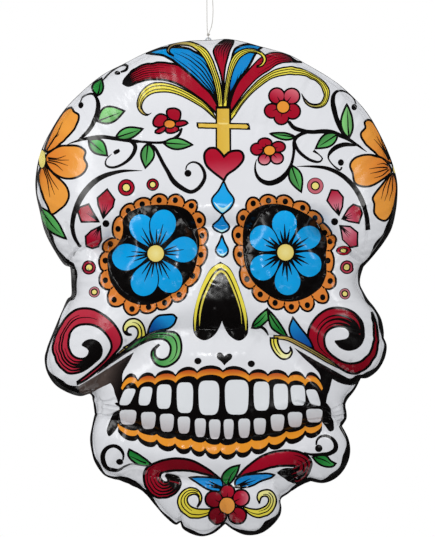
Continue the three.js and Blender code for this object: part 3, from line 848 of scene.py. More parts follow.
    band(
        fade(YELLOW, (0.78, 0.68, 0.34), (146, 96), (140, 110)),
        [(216.9, 118.6), (211, 108.6), (202, 100.1), (189.3, 91.8), (176.5, 85.6), (166.3, 82.6), (156.1, 82),
         (148.5, 84.4), (142.1, 89.6), (138.1, 96.5), (136.5, 104.2), (138.3, 110.6), (142.7, 114.8),
         (147.2, 115.9), (151.4, 113.2)],
        [(217.3, 121.4), (211.8, 116.6), (204.4, 109.8), (193.2, 102.6), (180.6, 96.2), (169.8, 93),
         (159.6, 92.7), (152.3, 94.2), (147, 97.4), (143.4, 102), (142.2, 106.7), (143.6, 110.8),
         (146, 113.2), (148.6, 113.9), (151.4, 112.8)],
        [(0.35, 0.03, 0.86, (0.5, 0.8, 0.8, 0.6)), (0.67, 0.05, 0.88, (0.5, 0.8, 0.8, 0.6))], line=1.15,
        out=0.1,
    )


def bar(corners, ink):
    """A patch with straight sides."""
    lay(even(corners, True, 2 * STEP), ink)


def draw_cross_and_heart():
    """The gold cross and the red heart at its foot."""
    bar([(196.4, 122.2), (249.6, 123.1), (250.6, 130), (196.4, 128.6)], BLACK)
    bar([(215.5, 106), (231, 106), (231.4, 156), (215.5, 156)], BLACK)
    bar([(198.3, 123.6), (248.1, 124.6), (248.8, 128.5), (198.3, 127.1)], GOLD)
    upright = fade((0.87, 0.7, 0.24), GOLD, (217, 130), (230, 130))
    bar([(217.2, 108.8), (229, 108.8), (229.5, 156), (217.2, 156)], upright)
    # A paler strip across the upright, where the forehead tie crosses it, is a painted highlight.
    bar([(217.2, 122.6), (229.1, 122.9), (229.1, 124.6), (217.2, 124.2)], (0.95, 0.84, 0.48))
    # The heart pales towards its tip: a painted reflection of a soft box.
    patch(
        fade((0.7, 0.05, 0.17), (0.83, 0.4, 0.45), (222, 158), (224.2, 181)),
        [(224, 156.6), (220, 151.6), (215.6, 148.2), (208.6, 148.6), (204.6, 153.4), (204.6, 160),
         (206.6, 165.6), (212.4, 171.4), (220.2, 177.4), (224, 180.6)],
        [(224, 180.6), (227, 175), (235.8, 168.6), (242.6, 161), (243.6, 155.8), (240.8, 151.4),
         (236.2, 150.6), (229.4, 152), (224, 156.6)],
        line=1.9,
    )


# A drop's shape: how far its shoulders lie in and its belly out, and how wide, how far below the middle,
# how far down inside and outside, and how round its crescent is
SHOULDER_IN, BELLY_OUT = 0.1, 0.24
CRESCENT_WIDE, CRESCENT_BELOW, CRESCENT_SAG, CRESCENT_FOOT, CRESCENT_ROUND = 0.84, 0.06, 0.56, 0.86, 0.1


def drop(top, left, right, bottom, ink=BLUE):
    """A blue drop with a white crescent at its foot."""
    top, left, right, bottom = (np.asarray(place, float) for place in (top, left, right, bottom))
    sides = []
    for corner in (left, right):
        out = corner - (top + bottom) / 2
        shoulder = between(top, corner, 0.5) - out * SHOULDER_IN
        belly = between(corner, bottom, 0.5) + out * BELLY_OUT
        sides.append([top, shoulder, corner, belly, bottom])
    patch(ink, sides[0], sides[1][::-1], line=1.5)
    middle = (left + right) / 2
    below = (0, CRESCENT_BELOW * (bottom - top)[1])
    high = [middle + (corner - middle) * CRESCENT_WIDE + below for corner in (left, right)]
    sag = middle + (bottom - middle) * CRESCENT_SAG
    foot = middle + (bottom - middle) * CRESCENT_FOOT
    low = [(point + foot) / 2 + (point - middle) * CRESCENT_ROUND for point in high]
    crescent = outline_of([high[0], sag, high[1]], [high[1], low[1], foot, low[0], high[0]])
    lay(crescent, fade((0.95, 0.98, 0.98), (0.62, 0.88, 0.88), middle, bottom))


def draw_drops():
    """The three drops down the middle of the forehead and nose."""
    drop((223.6, 180.6), (211.8, 199.6), (234, 199.6), (222.5, 214.5))
    drop((222.4, 214.6), (212.6, 225.8), (229.5, 226.7), (222.1, 233), PLUME_BLUE)
    drop((221.9, 234.6), (215.6, 250), (228.2, 250), (222.7, 257.2))


def draw_left_vine():
    """The vine at the left temple, with its leaves and its red flower."""
    stroke(
        [(67, 144.4), (77.2, 141), (87.4, 138.4), (101.4, 136.9), (114.2, 138.4), (126.9, 140.3),
         (138.4, 141.6)],
        (0.4, 1.8, 2.8, 3.1, 3.1, 3, 2.6),
    )
    stroke([(130, 140.6), (151.2, 142.5), (161.4, 142.5), (171.6, 139.7), (179.2, 134.6), (181.8, 128)],
           (1.8, 2, 2, 2.2, 2.8, 1.8))
    stroke(
        [(122, 140), (131, 141), (135.2, 146.1), (134, 152.4), (128.2, 160.1), (119.3, 165.8), (111.6, 167.5),
         (105.9, 165.2), (105.9, 160.1), (111.6, 154)],
        (2.2, 3.2, 3.4, 3, 2.6, 2.2, 2, 1.8, 1, 0.5),
    )
    hatch((113.8, 153.4), (119.6, 150), (2.4, 3.6, 2.2))
    stroke(
        [(147, 142.6), (154.4, 147.4), (158.8, 155), (163.3, 163.9), (167.8, 171.6), (173, 180.6),
         (180, 186.8), (190.7, 191.9), (196.8, 189.6), (202.2, 183.5), (204.9, 176.6), (203, 169),
         (198.4, 163.6), (192.2, 162.1), (186.9, 165.6), (185.8, 170)],
        (1.4, 2.4, 2.7, 2.8, 3, 3.4, 4, 3.8, 3.2, 3, 3, 2.8, 2.4, 1.8, 1.2, 1),
    )
    dot(187.9, 173.3, 3.6)
    stroke(
        [(77.2, 141), (86.1, 133.3), (91.2, 126.9), (95, 119.3), (97.6, 111.6), (98.2, 104), (96.3, 97.6),
         (92.5, 94), (87.4, 94.4), (82.3, 97.6), (80.6, 102)],
        (0.6, 2.6, 3, 3.2, 3.8, 4, 3.6, 2.4, 1.6, 1.3, 1),
    )
    dot(81, 105.3, 2.8, BLACK, 3.3)
    stroke([(102.9, 80.4), (109, 73.6), (116.4, 68), (123.4, 64.8), (127.4, 66), (126.1, 69.7), (120.6, 72)],
           (1.3, 1.4, 1.4, 1.5, 2.2, 2.2, 1.4))
    dot(117.4, 73, 3, BLACK, 2.2)
    leaf((97.6, 95.7), (101.4, 78.5), 7.4, 4, ink=(0.16, 0.53, 0.23))
    leaf((97.6, 121.2), (124.4, 111), 10.3, 6.3, ink=PALE_GREEN)
    leaf((115.5, 137.8), (142.9, 128.9), 6.2, 5.3)
    leaf((163.3, 142.9), (192.6, 144.8), 5.6, 5.6)
    leaf((148, 143.5), (145.4, 167.8), 7.4, 6)
    leaf((88.7, 140.3), (107.2, 155.6), 8, 6.1, ink=(0.28, 0.64, 0.3))
    for places in (
        [(168.9, 118.2), (166.6, 113.1), (167.6, 109.3), (171.4, 108.3), (176.5, 108.7), (180.1, 111.2),
         (180.6, 115.7), (178.4, 121)],
        [(165.1, 123), (167.8, 117.4), (163.8, 114.6), (159.3, 114.1), (155.5, 116.7), (153.3, 120.8),
         (153.6, 125.2), (157.4, 127.1), (163.8, 126.4)],
        [(165.6, 126), (158.7, 128.4), (154.8, 132), (158, 133.5), (162.5, 132.2), (165.7, 129.4)],
        [(166, 128), (166.3, 132.2), (169.5, 133.3), (175.3, 132.2), (179.1, 129.7), (176.4, 126)],
        [(175.5, 122), (180.4, 120.8), (184.8, 120.8), (187.8, 123.1), (184.2, 125.2), (179.1, 126.6),
         (175.5, 126)],
    ):
        patch(CRIMSON, places, line=1.5)
    dot(169.6, 124, 6.5, BLACK, 5)
    dot(169.6, 124, 5.1, fade(SCALLOP, ORANGE, (164, 122), (175, 126)), 3.6)


def draw_right_vine():
    """The vine at the right temple, with its leaves and its two red flowers."""
    stroke(
        [(288.4, 121.4), (294, 127.6), (302.9, 130.8), (311.8, 132), (322, 131.4), (331, 132), (341.2, 135.9),
         (350.1, 140.3), (357.8, 145.4), (366.7, 151.8)],
        (2.8, 3.4, 3.2, 3.2, 3.6, 3.6, 3.2, 2.6, 1.8, 0.5),
    )
    stroke(
        [(310, 131.6), (301.6, 134), (296.5, 137.1), (294, 142.2), (294, 149.9), (293, 157.6), (291.4, 163.9),
         (287.6, 171.6), (282.5, 177.6), (276, 181.6), (269, 183.2), (262, 181), (257.4, 176.4), (255.2, 170),
         (255.4, 164), (256.6, 159.4)],
        (2, 2.6, 3, 2.6, 2.4, 2.2, 2.4, 3, 4, 4.4, 4.2, 3.8, 3, 2.2, 1.4, 0.6),
    )
    stroke([(294.6, 142.2), (297.8, 149.9), (304.2, 156.3), (311.8, 160.7), (319.5, 161.8), (322.4, 158.8),
            (319.5, 155), (313.4, 150.6)], (2, 2.6, 2.6, 2.4, 2.2, 1.4, 0.9, 2.2))
    stroke(
        [(357, 145.6), (345, 144.5), (336.1, 147.3), (330.3, 152.4), (328.2, 157.6), (331, 162.7),
         (336.1, 167.8), (340.2, 170.2), (341.8, 167)],
        (0.8, 2.8, 3.6, 3.8, 3, 1.2, 1.1, 1.6, 1.4),
    )
    dot(340.9, 162.5, 3.1, BLACK, 3.4)
    stroke([(348.8, 138.4), (342.4, 130.8), (337.3, 120.6), (334.2, 110.4), (332.9, 101.4), (333.8, 95),
            (336.7, 91.4), (342.4, 90.8), (348.8, 93.8), (353.9, 98.9), (356, 104)],
           (3, 4, 4, 3.8, 4, 3.8, 3.2, 1.8, 1.2, 1, 1.2))
    dot(354.2, 107.2, 2.9, BLACK, 3.3)
    leaf((348.8, 138.4), (346.9, 104), 7, 5, ink=PALE_GREEN)
    leaf((338, 134), (315.7, 148.4), 6, 6.7)
    leaf((295.9, 137.1), (269.7, 133.6), 4.1, 2.6)
    leaf((291.4, 165.2), (301.2, 192), 6.5, 6.2, -0.4)
    # This flower's two top petals pale towards the top: a painted highlight.
    pale = fade((0.85, 0.42, 0.47), CRIMSON, (288, 88), (281, 104))
    round_flower(
        [(276.8, 95.9, 8, 8, pale), (291.6, 96.2, 8.2, 8, pale), (292.4, 111.3, 8, 7.8, CRIMSON),
         (281.4, 117.4, 7.4, 7.2, CRIMSON), (272, 110.8, 7.6, 7.2, CRIMSON)],
        (283.1, 106.9, 6.6, 6.4, ORANGE),
    )
    pale = fade(CRIMSON, (0.9, 0.62, 0.64), (270, 153), (270, 165))
    round_flower(
        [(264.9, 143, 7, 5, CRIMSON), (278.4, 146.9, 7, 5.4, CRIMSON), (277, 158.2, 6.4, 5.8, pale),
         (264.4, 159.4, 6.2, 5.6, pale), (257, 149.2, 6.4, 6, CRIMSON)],
        (269.5, 150.5, 6, 5.2, ORANGE),
    )


def orange_flower(middle, petals, reach=36, vein_start=0.24, vein_bow=1.2):
    """A large flower at the skull's edge: the outline and the vein ends of each petal."""
    shade = glow((0.86, 0.46, 0.16), (0.95, 0.63, 0.25), np.array(middle), reach)
    for loop, _ in petals:
        patch(shade, loop, line=1.7)
    for _, veins in petals:
        for k, end in enumerate(veins):
            bow = vein_bow * (k - (len(veins) - 1) / 2)
            hatch(between(middle, end, vein_start), end, (1.0, 0.9, 0.3), bow)


def draw_orange_flowers():
    """The large flowers at both edges of the forehead, and the leaf below the left one."""
    leaf((40, 207), (66.6, 239), 6.5, 6.5, -2.2)
    orange_flower(
        (41.6, 158.5),
        [
            (
                [(45, 152), (49.1, 137), (58.1, 119.8), (65, 110.6), (71.5, 107.6), (74, 111.8),
                 (78.5, 114.6), (78.2, 120.6), (72.1, 132), (63.2, 141), (54, 149)],
                [(62.6, 122), (60.6, 127.6), (59, 133.6)],
            ),
            (
                [(45.5, 157), (56.8, 147.3), (68.3, 145.4), (79.7, 146.7), (85.5, 151.6), (84.2, 158.2),
                 (87.1, 165.2), (83.6, 172.9), (74.6, 178), (63.2, 178), (53, 172.6), (46, 163)],
                [(66, 155.6), (69, 160), (68, 165.6), (62.6, 170.6)],
            ),
            (
                [(43, 165), (54.5, 174.6), (66.4, 186.5), (68.9, 196.2), (65.6, 204), (60, 209.4),
                 (51.2, 214.2), (47.6, 206.6), (40.8, 190), (38.4, 175)],
                [(58.6, 190), (54.6, 194.6), (49.6, 197)],
            ),
        ],
    )
    dot(42, 159, 4.3, BLACK, 10.2)
    dot(42, 159, 3.2, CREAM, 9)
    orange_flower(
        (393.6, 167),
        [
            (
                [(392, 163.4), (380.7, 157.2), (371.8, 149.9), (363.4, 141), (361, 133.3), (365.6, 127.4),
                 (364.4, 122.6), (367.6, 119.8), (371.8, 121.2), (376.9, 128.2), (383.3, 141), (389, 155)],
                [(374, 139), (376.6, 136), (379.6, 134.6)],
            ),
            (
                [(391.3, 169), (383.3, 158.8), (374.3, 155.6), (364.1, 155), (353.9, 158.8), (350, 165.2),
                 (352.6, 173), (355.5, 183.6), (368.3, 186.5), (383.8, 178.6), (391.6, 171.7)],
                [(377, 164.6), (369, 169), (370, 173.6), (374, 178)],
            ),
            (
                [(392.6, 173.6), (381.6, 185.4), (372.6, 198.5), (374.4, 204), (374.6, 214), (384, 221),
                 (390.6, 215.4), (395.8, 197.3), (396.6, 182.8)],
                [(381, 199), (385, 201), (389.6, 201)],
            ),
        ],
    )
    dot(395, 167.4, 2.8, BLACK, 6.8)
    dot(395, 167.4, 1.9, CREAM, 5.8)


def kite(foot, *places, pale=(0.85, 0.45, 0.5), reach=1, hatched=0.72):
    """A red petal of a small fan, paler towards its foot, with hatching from there."""
    far = between(foot, np.mean(places, axis=0), reach)
    places = [np.asarray(place, float) for place in places]
    corners = [np.asarray(foot, float), *places]
    patch(fade(pale, CRIMSON, foot, far), *zip(corners, corners[1:] + corners[:1]), line=1.4)
    for share in (0.3, 0.5, 0.7):
        hatch(foot, between(foot, between(places[1], places[-2], share), hatched), KITE_HATCH)


def draw_brows():
    """The brows, the red fans at their outer ends and the ringed dots round the eyes."""
    stroke(
        [(142.3, 170.6), (120.4, 171.4), (99.7, 178.2), (84.9, 191.7), (75.9, 208.4), (72.4, 224.9),
         (74.6, 237), (79.8, 246.6)],
        (0.3, 2.2, 3.6, 4.4, 4.6, 3.9, 3.2, 2.3),
    )
    stroke(
        [(297, 166.4), (311, 166.4), (327, 168.3), (342, 175.4), (354.6, 187.7), (362.6, 202.4),
         (366.6, 216.6), (368.2, 230)],
        (0.4, 1.9, 3, 3.5, 3.8, 4, 3.6, 2.9),
    )
    kite((103.3, 218.2), (98.2, 205), (97.4, 198), (107.2, 189.2), (114.6, 199.4), (112.9, 207))
    kite((98.9, 221.7), (81.4, 222), (77.6, 211.5), (79.9, 207.2), (88.7, 204), (93.2, 212.4))
    kite(
        (100.2, 226.4), (101.4, 239), (98.6, 246.4), (92.5, 248.4), (86.4, 246.3), (85.5, 236.3),
        (91.2, 230.8),
    )
    dot(105.9, 223.6, 3.6)
    # The right kites are rose at their feet: partly the print's paler foot, partly a painted highlight.
    kite(
        (338.9, 215), (332, 207.6), (327, 200.6), (331.2, 189.8), (338, 190.6), (343.2, 197.2),
        (342.4, 206.8), pale=ROSE, reach=1.7,
    )
    kite(
        (342.2, 218.9), (348.4, 208.6), (353.3, 204.4), (359.9, 206.8), (362.2, 213.4), (358.8, 223.2),
        (349, 221.4), pale=ROSE, reach=1.2,
    )
    kite((340, 225.8), (350.4, 226.6), (357.6, 232.6), (357.4, 246), (350.3, 247.4), (342.8, 239.5),
         pale=ROSE, reach=1.9)
    dot(334.6, 221.7, 3.7)
    ringed_dot(126.3, 187.6, 8.6)
    ringed_dot(152.7, 184.6, 6.4)
    ringed_dot(88.9, 267.5, 7.2, (0.64, 0.14, 0.23))
    ringed_dot(94.4, 292, 5.6, (0.76, 0.47, 0.5), line=0.7)
    ringed_dot(315.3, 185.9, 8.4, (0.78, 0.4, 0.45), line=0.8)
    ringed_dot(343.6, 250.6, 7.8, squash=0.62)
    ringed_dot(346.9, 267.2, 7, (0.72, 0.24, 0.32))
    ringed_dot(345, 293.8, 5.7, (0.76, 0.47, 0.5), line=0.7)


# The eyes: the outline of each black disc, the dots round it, and the flower on it, as its middle, the
# widths of its strokes, and the bearing, reach and breadth of each petal
EYE_DISCS = [
    [(158.8, 204.7), (171.6, 205.1), (184.3, 208.3), (191.7, 214.6), (196.2, 225), (199.6, 241.4),
     (198.2, 254), (193.9, 270.8), (187, 281), (174.1, 292.4), (161.4, 300.7), (149.9, 304.6), (138.4, 304.6),
     (126.9, 300.1), (116.7, 291.2), (110.4, 281), (107.6, 268), (108.6, 253), (115.6, 246), (121.6, 237),
     (123, 228), (122.6, 220), (126.4, 214.6), (132.6, 210.4), (141, 207), (149.9, 205.1)],
    [(271, 203.8), (281.2, 204.4), (291.4, 207), (301.6, 211.5), (309.6, 216), (317, 222.4), (322, 229.4),
     (326.2, 237.4), (327.2, 245.3), (326, 253), (326.6, 266), (325.9, 276), (320.8, 287.3), (313.1, 293.7),
     (304.2, 298.8), (294, 301.4), (283.8, 301.4), (273.6, 298.2), (263.4, 291.2), (254.4, 283.5),
     (248.7, 274.6), (244.9, 264.4), (243, 252.9), (242.7, 241.4), (243, 231.2), (244.9, 221), (249.2, 213.4),
     (256.2, 208), (263.4, 205.1)],
]
EYE_DOTS = [
    [(142.2, 204.2), (159.1, 200.2), (175.2, 200.2), (191.4, 205.7), (199.4, 220.4), (201.9, 235.7),
     (200.9, 254.8), (192.6, 275.9), (179.2, 294.7), (164.6, 302.7), (148.6, 307.1), (132, 309),
     (114.2, 299.8), (105.3, 280.3), (105.3, 260.6), (110.4, 244), (118, 228.9), (128.2, 210.8)],
    [(253.2, 203.4), (268.5, 200.6), (285.3, 201.5), (302.7, 207.9), (315, 218.2), (324.6, 232.8),
     (330, 241.4), (327.8, 260.6), (330.3, 281), (322.7, 297.3), (307.4, 305.2), (291.4, 306.9),
     (275.1, 302.9), (260.2, 294.4), (247, 279.1), (239.8, 254.4), (238.2, 235.4), (242.7, 217.8)],
]
EYE_FLOWERS = [
    (
        (155.7, 253.5), (1.6, 1.3, 0.3),
        ((118, 43, 25), (76, 45, 26), (8, 42, 26), (-62, 43, 26), (-112, 45, 27), (187, 44, 27)),
    ),
    (
        (285.5, 252.4), (2.3, 1.7, 0.3),
        ((92, 42, 25), (33, 40, 23), (-27, 39, 25), (-86, 43, 26), (-146, 40, 26), (148, 40, 26)),
    ),
]
# A scalloped edge: its height over a dot and between two, how round its arches and those of the gums are,
# and how many points an arch has
SCALLOP_CREST, SCALLOP_CUSP, SCALLOP_POWER = 5.2, 3.2, 0.55
GUM_POWER = 0.62
ARCH_STEPS = 8
# The black round an eye's edge, how far its paler middle reaches, and the size of a dot on it
EYE_EDGE, EYE_GLOW = 2.1, 52
EYE_DOT = (2.8, 3.1)
# A blue flower: where its petals and their strokes start, the black round a petal and the black inside its
# edge, the bearing of each stroke from the petal's and the share of the petal that it reaches, and the share
# of that bearing at a stroke's foot
PETAL_FOOT, STROKE_FOOT = 5, 8
PETAL_LINE, PETAL_IN = 0.9, 0.2
STROKE_SWINGS = ((-12, 0.56), (0, 0.68), (12, 0.54))
FOOT_SWING = 0.8
FLOWER_RIM, FLOWER_HEART, HEART_GLOW = 9.4, 8.2, 9


def outward_from(middle, place):
    """The direction from a middle to a place, one unit long."""
    return (place - middle) / np.hypot(*(place - middle))


def arch_shares():
    """How far along an arch its points are, without its end."""
    return np.linspace(0, 1, ARCH_STEPS + 1)[:-1]


def scallops(disc, dots, middle):
    """The scalloped edge round an eye, one arch over each dot, and the short creases between the arches."""
    cusps, creases = [], []
    for first, second in zip(np.roll(dots, 1, 0), dots):
        between_dots = (first + second) / 2
        at_disc = disc[np.argmin(np.linalg.norm(disc - between_dots, axis=1))]
        cusps.append(at_disc + outward_from(middle, between_dots) * SCALLOP_CUSP)
        creases.append((cusps[-1], at_disc))
    line = []
    for start, end, spot in zip(cusps, np.roll(cusps, -1, 0), dots):
        rise = spot + outward_from(middle, spot) * SCALLOP_CREST - (start + end) / 2
        for share in arch_shares():
            line.append(start + (end - start) * share + rise * math.sin(math.pi * share) ** SCALLOP_POWER)
    return np.array(line), creases


def draw_eye(disc, dots, flower, spikes, petals):
    """An eye: scallops round a black disc with a blue flower on it."""
    disc, dots = smooth(disc, closed=True), np.array(dots)
    middle = disc.mean(0)
    edge, creases = scallops(disc, dots, middle)
    lay(grown(edge, EYE_EDGE), BLACK)
    lay(edge, glow((0.95, 0.68, 0.34), SCALLOP, middle, EYE_GLOW))
    for start, end in creases:
        hatch(start, end, (1.6, 1, 0.5))
    for spot in dots:
        dot(*spot, EYE_DOT[0], BLACK, EYE_DOT[1])
    lay(disc, BLACK)
    for turn, reach, broad in petals:
        tip = at_turn(flower, turn, reach)
        loop = smooth(petal_loop(at_turn(flower, turn, PETAL_FOOT), tip, broad), closed=True)
        lay(grown(loop, PETAL_LINE), BLACK)
        lay(grown(loop, -PETAL_IN), fade((0.01, 0.58, 0.85), BLUE, flower, tip))
        for swing, long in STROKE_SWINGS:
            foot = at_turn(flower, turn + swing * FOOT_SWING, STROKE_FOOT)
            hatch(foot, at_turn(flower, turn + swing, reach * long), spikes)
    dot(*flower, FLOWER_RIM)
    dot(*flower, FLOWER_HEART, glow((0.95, 0.9, 0.6), (0.9, 0.8, 0.4), np.array(flower), HEART_GLOW))


# How far the nose's black reaches beyond its outline
NOSE_GROWN = 0.8


def draw_nose():
    """The black nose with a yellow band and a thinner one along it."""
    left = [
        (220.4, 262.6), (211.6, 268.8), (204.4, 281.4), (199, 295.4), (195.4, 309), (193.6, 323),
        (195.6, 334.4), (204, 339.6), (213.4, 335), (219.4, 325.6), (222, 318.4),
    ]
    right = [
        (222, 318.4), (224.6, 326), (230.6, 335.6), (239.2, 340), (246.4, 334.6), (247.2, 321),
        (244.4, 307), (240, 292.4), (235.4, 280.4), (229, 268.4), (220.4, 262.6),
    ]
    lay(grown(outline_of(left, right), NOSE_GROWN), BLACK)
    stroke(
        [(195, 331), (195.2, 318), (197.2, 305), (200.8, 293), (206, 281.4), (212.6, 270.6), (220.6, 265.6),
         (228.2, 270.4), (234, 281), (238.6, 292.6), (242.6, 305), (245.2, 317), (246, 330)],
        (0.5, 2.4, 2.8, 3, 3.6, 4.2, 4, 3.6, 3.2, 3, 3.4, 2.6, 0.5), YELLOW,
    )
    stroke(
        [(199.4, 326), (200.2, 313), (202.8, 301), (206.8, 290.6), (212, 280), (217, 273.4), (220.8, 271.2),
         (224.6, 273), (229.4, 280.6), (234, 291), (238, 302), (240.6, 312), (241.8, 324)],
        (0.3, 1.5, 1.8, 2, 2.2, 2.4, 2.2, 2, 1.8, 1.6, 1.2, 0.8, 0.3), (0.88, 0.82, 0.32),
    )


# The mouth: the cusps of each gum's scalloped edge, the heights of the crests between the upper ones, and the
# teeth, as left, right, top and bottom, the upper ones also with how far their feet lean aside
UPPER_CUSPS = [
    (121, 386), (137.8, 379.7), (155, 376.4), (175.6, 374.5), (197.1, 371.1), (223, 370.2), (249.2, 373.5),
    (267.9, 374), (288.4, 375.9), (305.2, 377.4), (323, 386.4),
]
UPPER_CRESTS = [373.5, 372.4, 370, 366.7, 365.2, 366, 369, 369.5, 371, 372.6]
LOWER_CUSPS = [
    (117.7, 422.8), (137.8, 429.5), (156.9, 433.8), (175.1, 436.7), (190.9, 438.1), (205.2, 440.5),
    (220.3, 442.6), (236.3, 441.5), (251.6, 439.1), (268.8, 435.7), (286.1, 430.9), (305.2, 425.7),
    (321.9, 421.8),
]
UPPER_TEETH = [
    (121.4, 133.2, 388.6, 405.2, -3.4), (139.2, 151.4, 386.8, 405.4, -1.6),
    (156.8, 171.2, 384.4, 408.8, -0.4), (176.8, 193, 382.4, 413, 0), (198.6, 219.2, 380.6, 415, 0),
    (225, 248.5, 379.8, 414.6, 0), (253.7, 269.4, 381.6, 410.6, 0), (273.6, 288, 383.8, 409.6, 0.4),
    (291, 305.2, 385.2, 405.4, 0.8), (308, 319, 389.4, 405.8, 2.8),
]
LOWER_TEETH = [
    (120, 136, 409.8, 424.6), (141.4, 155.4, 412, 429), (160.2, 173.6, 413.8, 431.8),
    (178, 189.8, 416.6, 433.6), (195, 205.6, 418.4, 437), (209.3, 220.2, 419.4, 439),
    (223.9, 233.4, 419.2, 439), (238.6, 249.8, 418.6, 437.8), (254, 265.6, 418.2, 434.4),
    (271, 284, 414.4, 431), (288.2, 302, 412, 427.2), (306.6, 322, 408.8, 422.4),
]
MOUTH_MIDDLE = [(322, 405), (220, 408), (120, 405)]
# How far below its edge the upper gum and its teeth start, at cusps and at crests
GUM_BELOW, TEETH_BELOW = (2.2, 3.7), (8.2, 9.4)
# How far inside the mouth the first and last arch of the upper gum end, and how soon a gum pales
CORNER_IN = 3
GUM_FADE, CORNER_FADE = 6.5, 1
# The lower gum's layers: how far below the edge they end at cusps, with what more in the middle, the same at
# crests, and their ink
LOWER_LAYERS = (
    (8.4, 4.2, 13.6, 4.2, BLACK), (3.5, 4.1, 8.4, 4, GUM), (0.3, 0, 3.4, -0.2, BLACK),
)
# How much narrower a tooth's free end is, how square a tooth is across and down, and its points
UPPER_NARROW, LOWER_NARROW = 0.05, 0.14
TOOTH_ACROSS, TOOTH_DOWN = 0.5, 0.55
TOOTH_SIDES = 30


def arches(cusps, crests):
    """A scalloped line: one arch from each cusp to the next, through the crest between them."""
    line = []
    for start, end, crest in zip(cusps, cusps[1:], crests):
        start, end = np.asarray(start, float), np.asarray(end, float)
        rise = crest - (start[1] + end[1]) / 2
        for share in arch_shares():
            up = np.array([0, rise * math.sin(math.pi * share) ** GUM_POWER])
            line.append(start + (end - start) * share + up)
    line.append(np.asarray(cusps[-1], float))
    return np.array(line)


def tooth(left, right, top, bottom, narrow, lean=0.0, shaded=False):
    """A tooth: a rounded block, narrower at its free end, whose foot leans aside."""
    middle, half = (left + right) / 2, (right - left) / 2
    centre, tall = (top + bottom) / 2, (bottom - top) / 2
    turn = turns(TOOTH_SIDES)
    across = np.sign(np.cos(turn)) * np.abs(np.cos(turn)) ** TOOTH_ACROSS
    down = np.sign(np.sin(turn)) * np.abs(np.sin(turn)) ** TOOTH_DOWN
    across *= 1 - narrow * down
    loop = np.stack([middle + half * across + lean * down, centre + tall * down], -1)
    lay(loop, fade(TOOTH, TOOTH_SHADE, (middle, top), (middle, bottom)) if shaded else TOOTH)


def lowered(cusps, crests, at_cusps, at_crests):
    """The cusps and crests of a scalloped line that runs below another."""
    return [(u, v + at_cusps) for u, v in cusps], [crest + at_crests for crest in crests]


def draw_mouth_corners():
    """The black wedges beside the mouth."""
    # The left wedge is grey-brown at its outer end, fading to black: a painted reflection on the black print.
    lay(outline_of(
        [(134, 352.1), (129.1, 355.1), (115.3, 363.6), (100, 373.5), (88, 380.6), (77.8, 386.6)],
        [(77.8, 386.6), (80, 393), (88, 395.4)],
        [(88, 395.4), (99, 388.6), (110.4, 383.2)],
        [(110.4, 383.2), (113, 387.3), (115.3, 394.9), (117.6, 402), (122, 420)],
        [(122, 420), (123, 390), (122.6, 374.3), (129.1, 362), (134, 352.1)],
    ), fade((0.33, 0.28, 0.26), BLACK, (104, 380), (122, 386)))
    lay(
        outline_of(
            [(294.2, 347.7), (300, 351.1), (312.8, 358.8), (325.5, 365.8), (335.7, 371.5), (343.4, 375.7),
             (350.4, 378.5), (357.4, 374.7), (361.2, 374.4)],
            [(361.2, 374.4), (358, 378.6), (356.8, 382.4), (352.9, 385.2), (344.6, 384.3), (338.3, 382.4),
             (332.5, 379.2)],
            [(332.5, 379.2), (329.6, 389.3), (326.7, 398.9), (325, 420)],
            [(325, 420), (319.4, 392), (320, 375.4), (312.8, 366.4), (306.4, 360.7), (300, 354.4),
             (294.2, 347.7)],
        ),
        BLACK,
    )
    lay(
        outline_of(
            [(120, 403), (114.6, 403), (118, 406.4), (120.6, 408.8), (113.8, 412.5), (109.9, 420.9),
             (106.6, 431), (108.8, 436.4), (113.4, 433), (118, 426), (124, 410)],
        ),
        BLACK,
    )
    lay(
        outline_of(
            [(322, 400), (331, 409), (331.4, 416), (333.6, 422), (333.4, 430), (329.8, 431.6), (326, 427),
             (321.6, 421), (319, 408)],
        ),
        BLACK,
    )


def draw_upper_gum():
    """The upper gum, arch by arch, over the black that its teeth stand in."""
    lay(np.vstack([arches(UPPER_CUSPS, UPPER_CRESTS), MOUTH_MIDDLE]), BLACK)
    gum = arches(*lowered(UPPER_CUSPS, UPPER_CRESTS, *GUM_BELOW))
    last = len(UPPER_CRESTS) - 1
    for k in range(last + 1):
        arch = gum[ARCH_STEPS * k : ARCH_STEPS * (k + 1) + 1]
        foot = [(arch[-1][0], MOUTH_MIDDLE[1][1]), (arch[0][0], MOUTH_MIDDLE[1][1])]
        if k == 0:
            foot[1] = arch[0] + (CORNER_IN, CORNER_IN)
        if k == last:
            foot[0] = arch[-1] + (-CORNER_IN, CORNER_IN)
        middle = arch[ARCH_STEPS // 2]
        reach = GUM_FADE if 0 < k < last - 1 else CORNER_FADE
        lay(np.vstack([arch, foot]), fade(RUST, GUM, middle, middle + (0, reach)))
    lay(np.vstack([arches(*lowered(UPPER_CUSPS, UPPER_CRESTS, *TEETH_BELOW)), MOUTH_MIDDLE]), BLACK)


def draw_lower_gum():
    """The lower gum between its two black lines."""
    count = len(LOWER_CUSPS) - 1
    mids = [(a[1] + b[1]) / 2 for a, b in zip(LOWER_CUSPS, LOWER_CUSPS[1:])]

    def hump(k):
        """How much of what is added in the middle counts here."""
        return math.sin(math.pi * k / count)

    for at_cusp, more_at_cusp, at_crest, more_at_crest, ink in LOWER_LAYERS:
        cusps = [(u, v + at_cusp + more_at_cusp * hump(k)) for k, (u, v) in enumerate(LOWER_CUSPS)]
        crests = [v + at_crest + more_at_crest * hump(k + 0.5) for k, v in enumerate(mids)]
        lay(np.vstack([MOUTH_MIDDLE[::-1], arches(cusps, crests)[::-1]]), ink)


def draw_mouth():
    """The mouth's corners, its gums and its teeth."""
    draw_mouth_corners()
    draw_upper_gum()
    draw_lower_gum()
    for *sides, lean in UPPER_TEETH:
        tooth(*sides, UPPER_NARROW, lean)
    for sides in LOWER_TEETH:
        tooth(*sides, LOWER_NARROW, shaded=True)


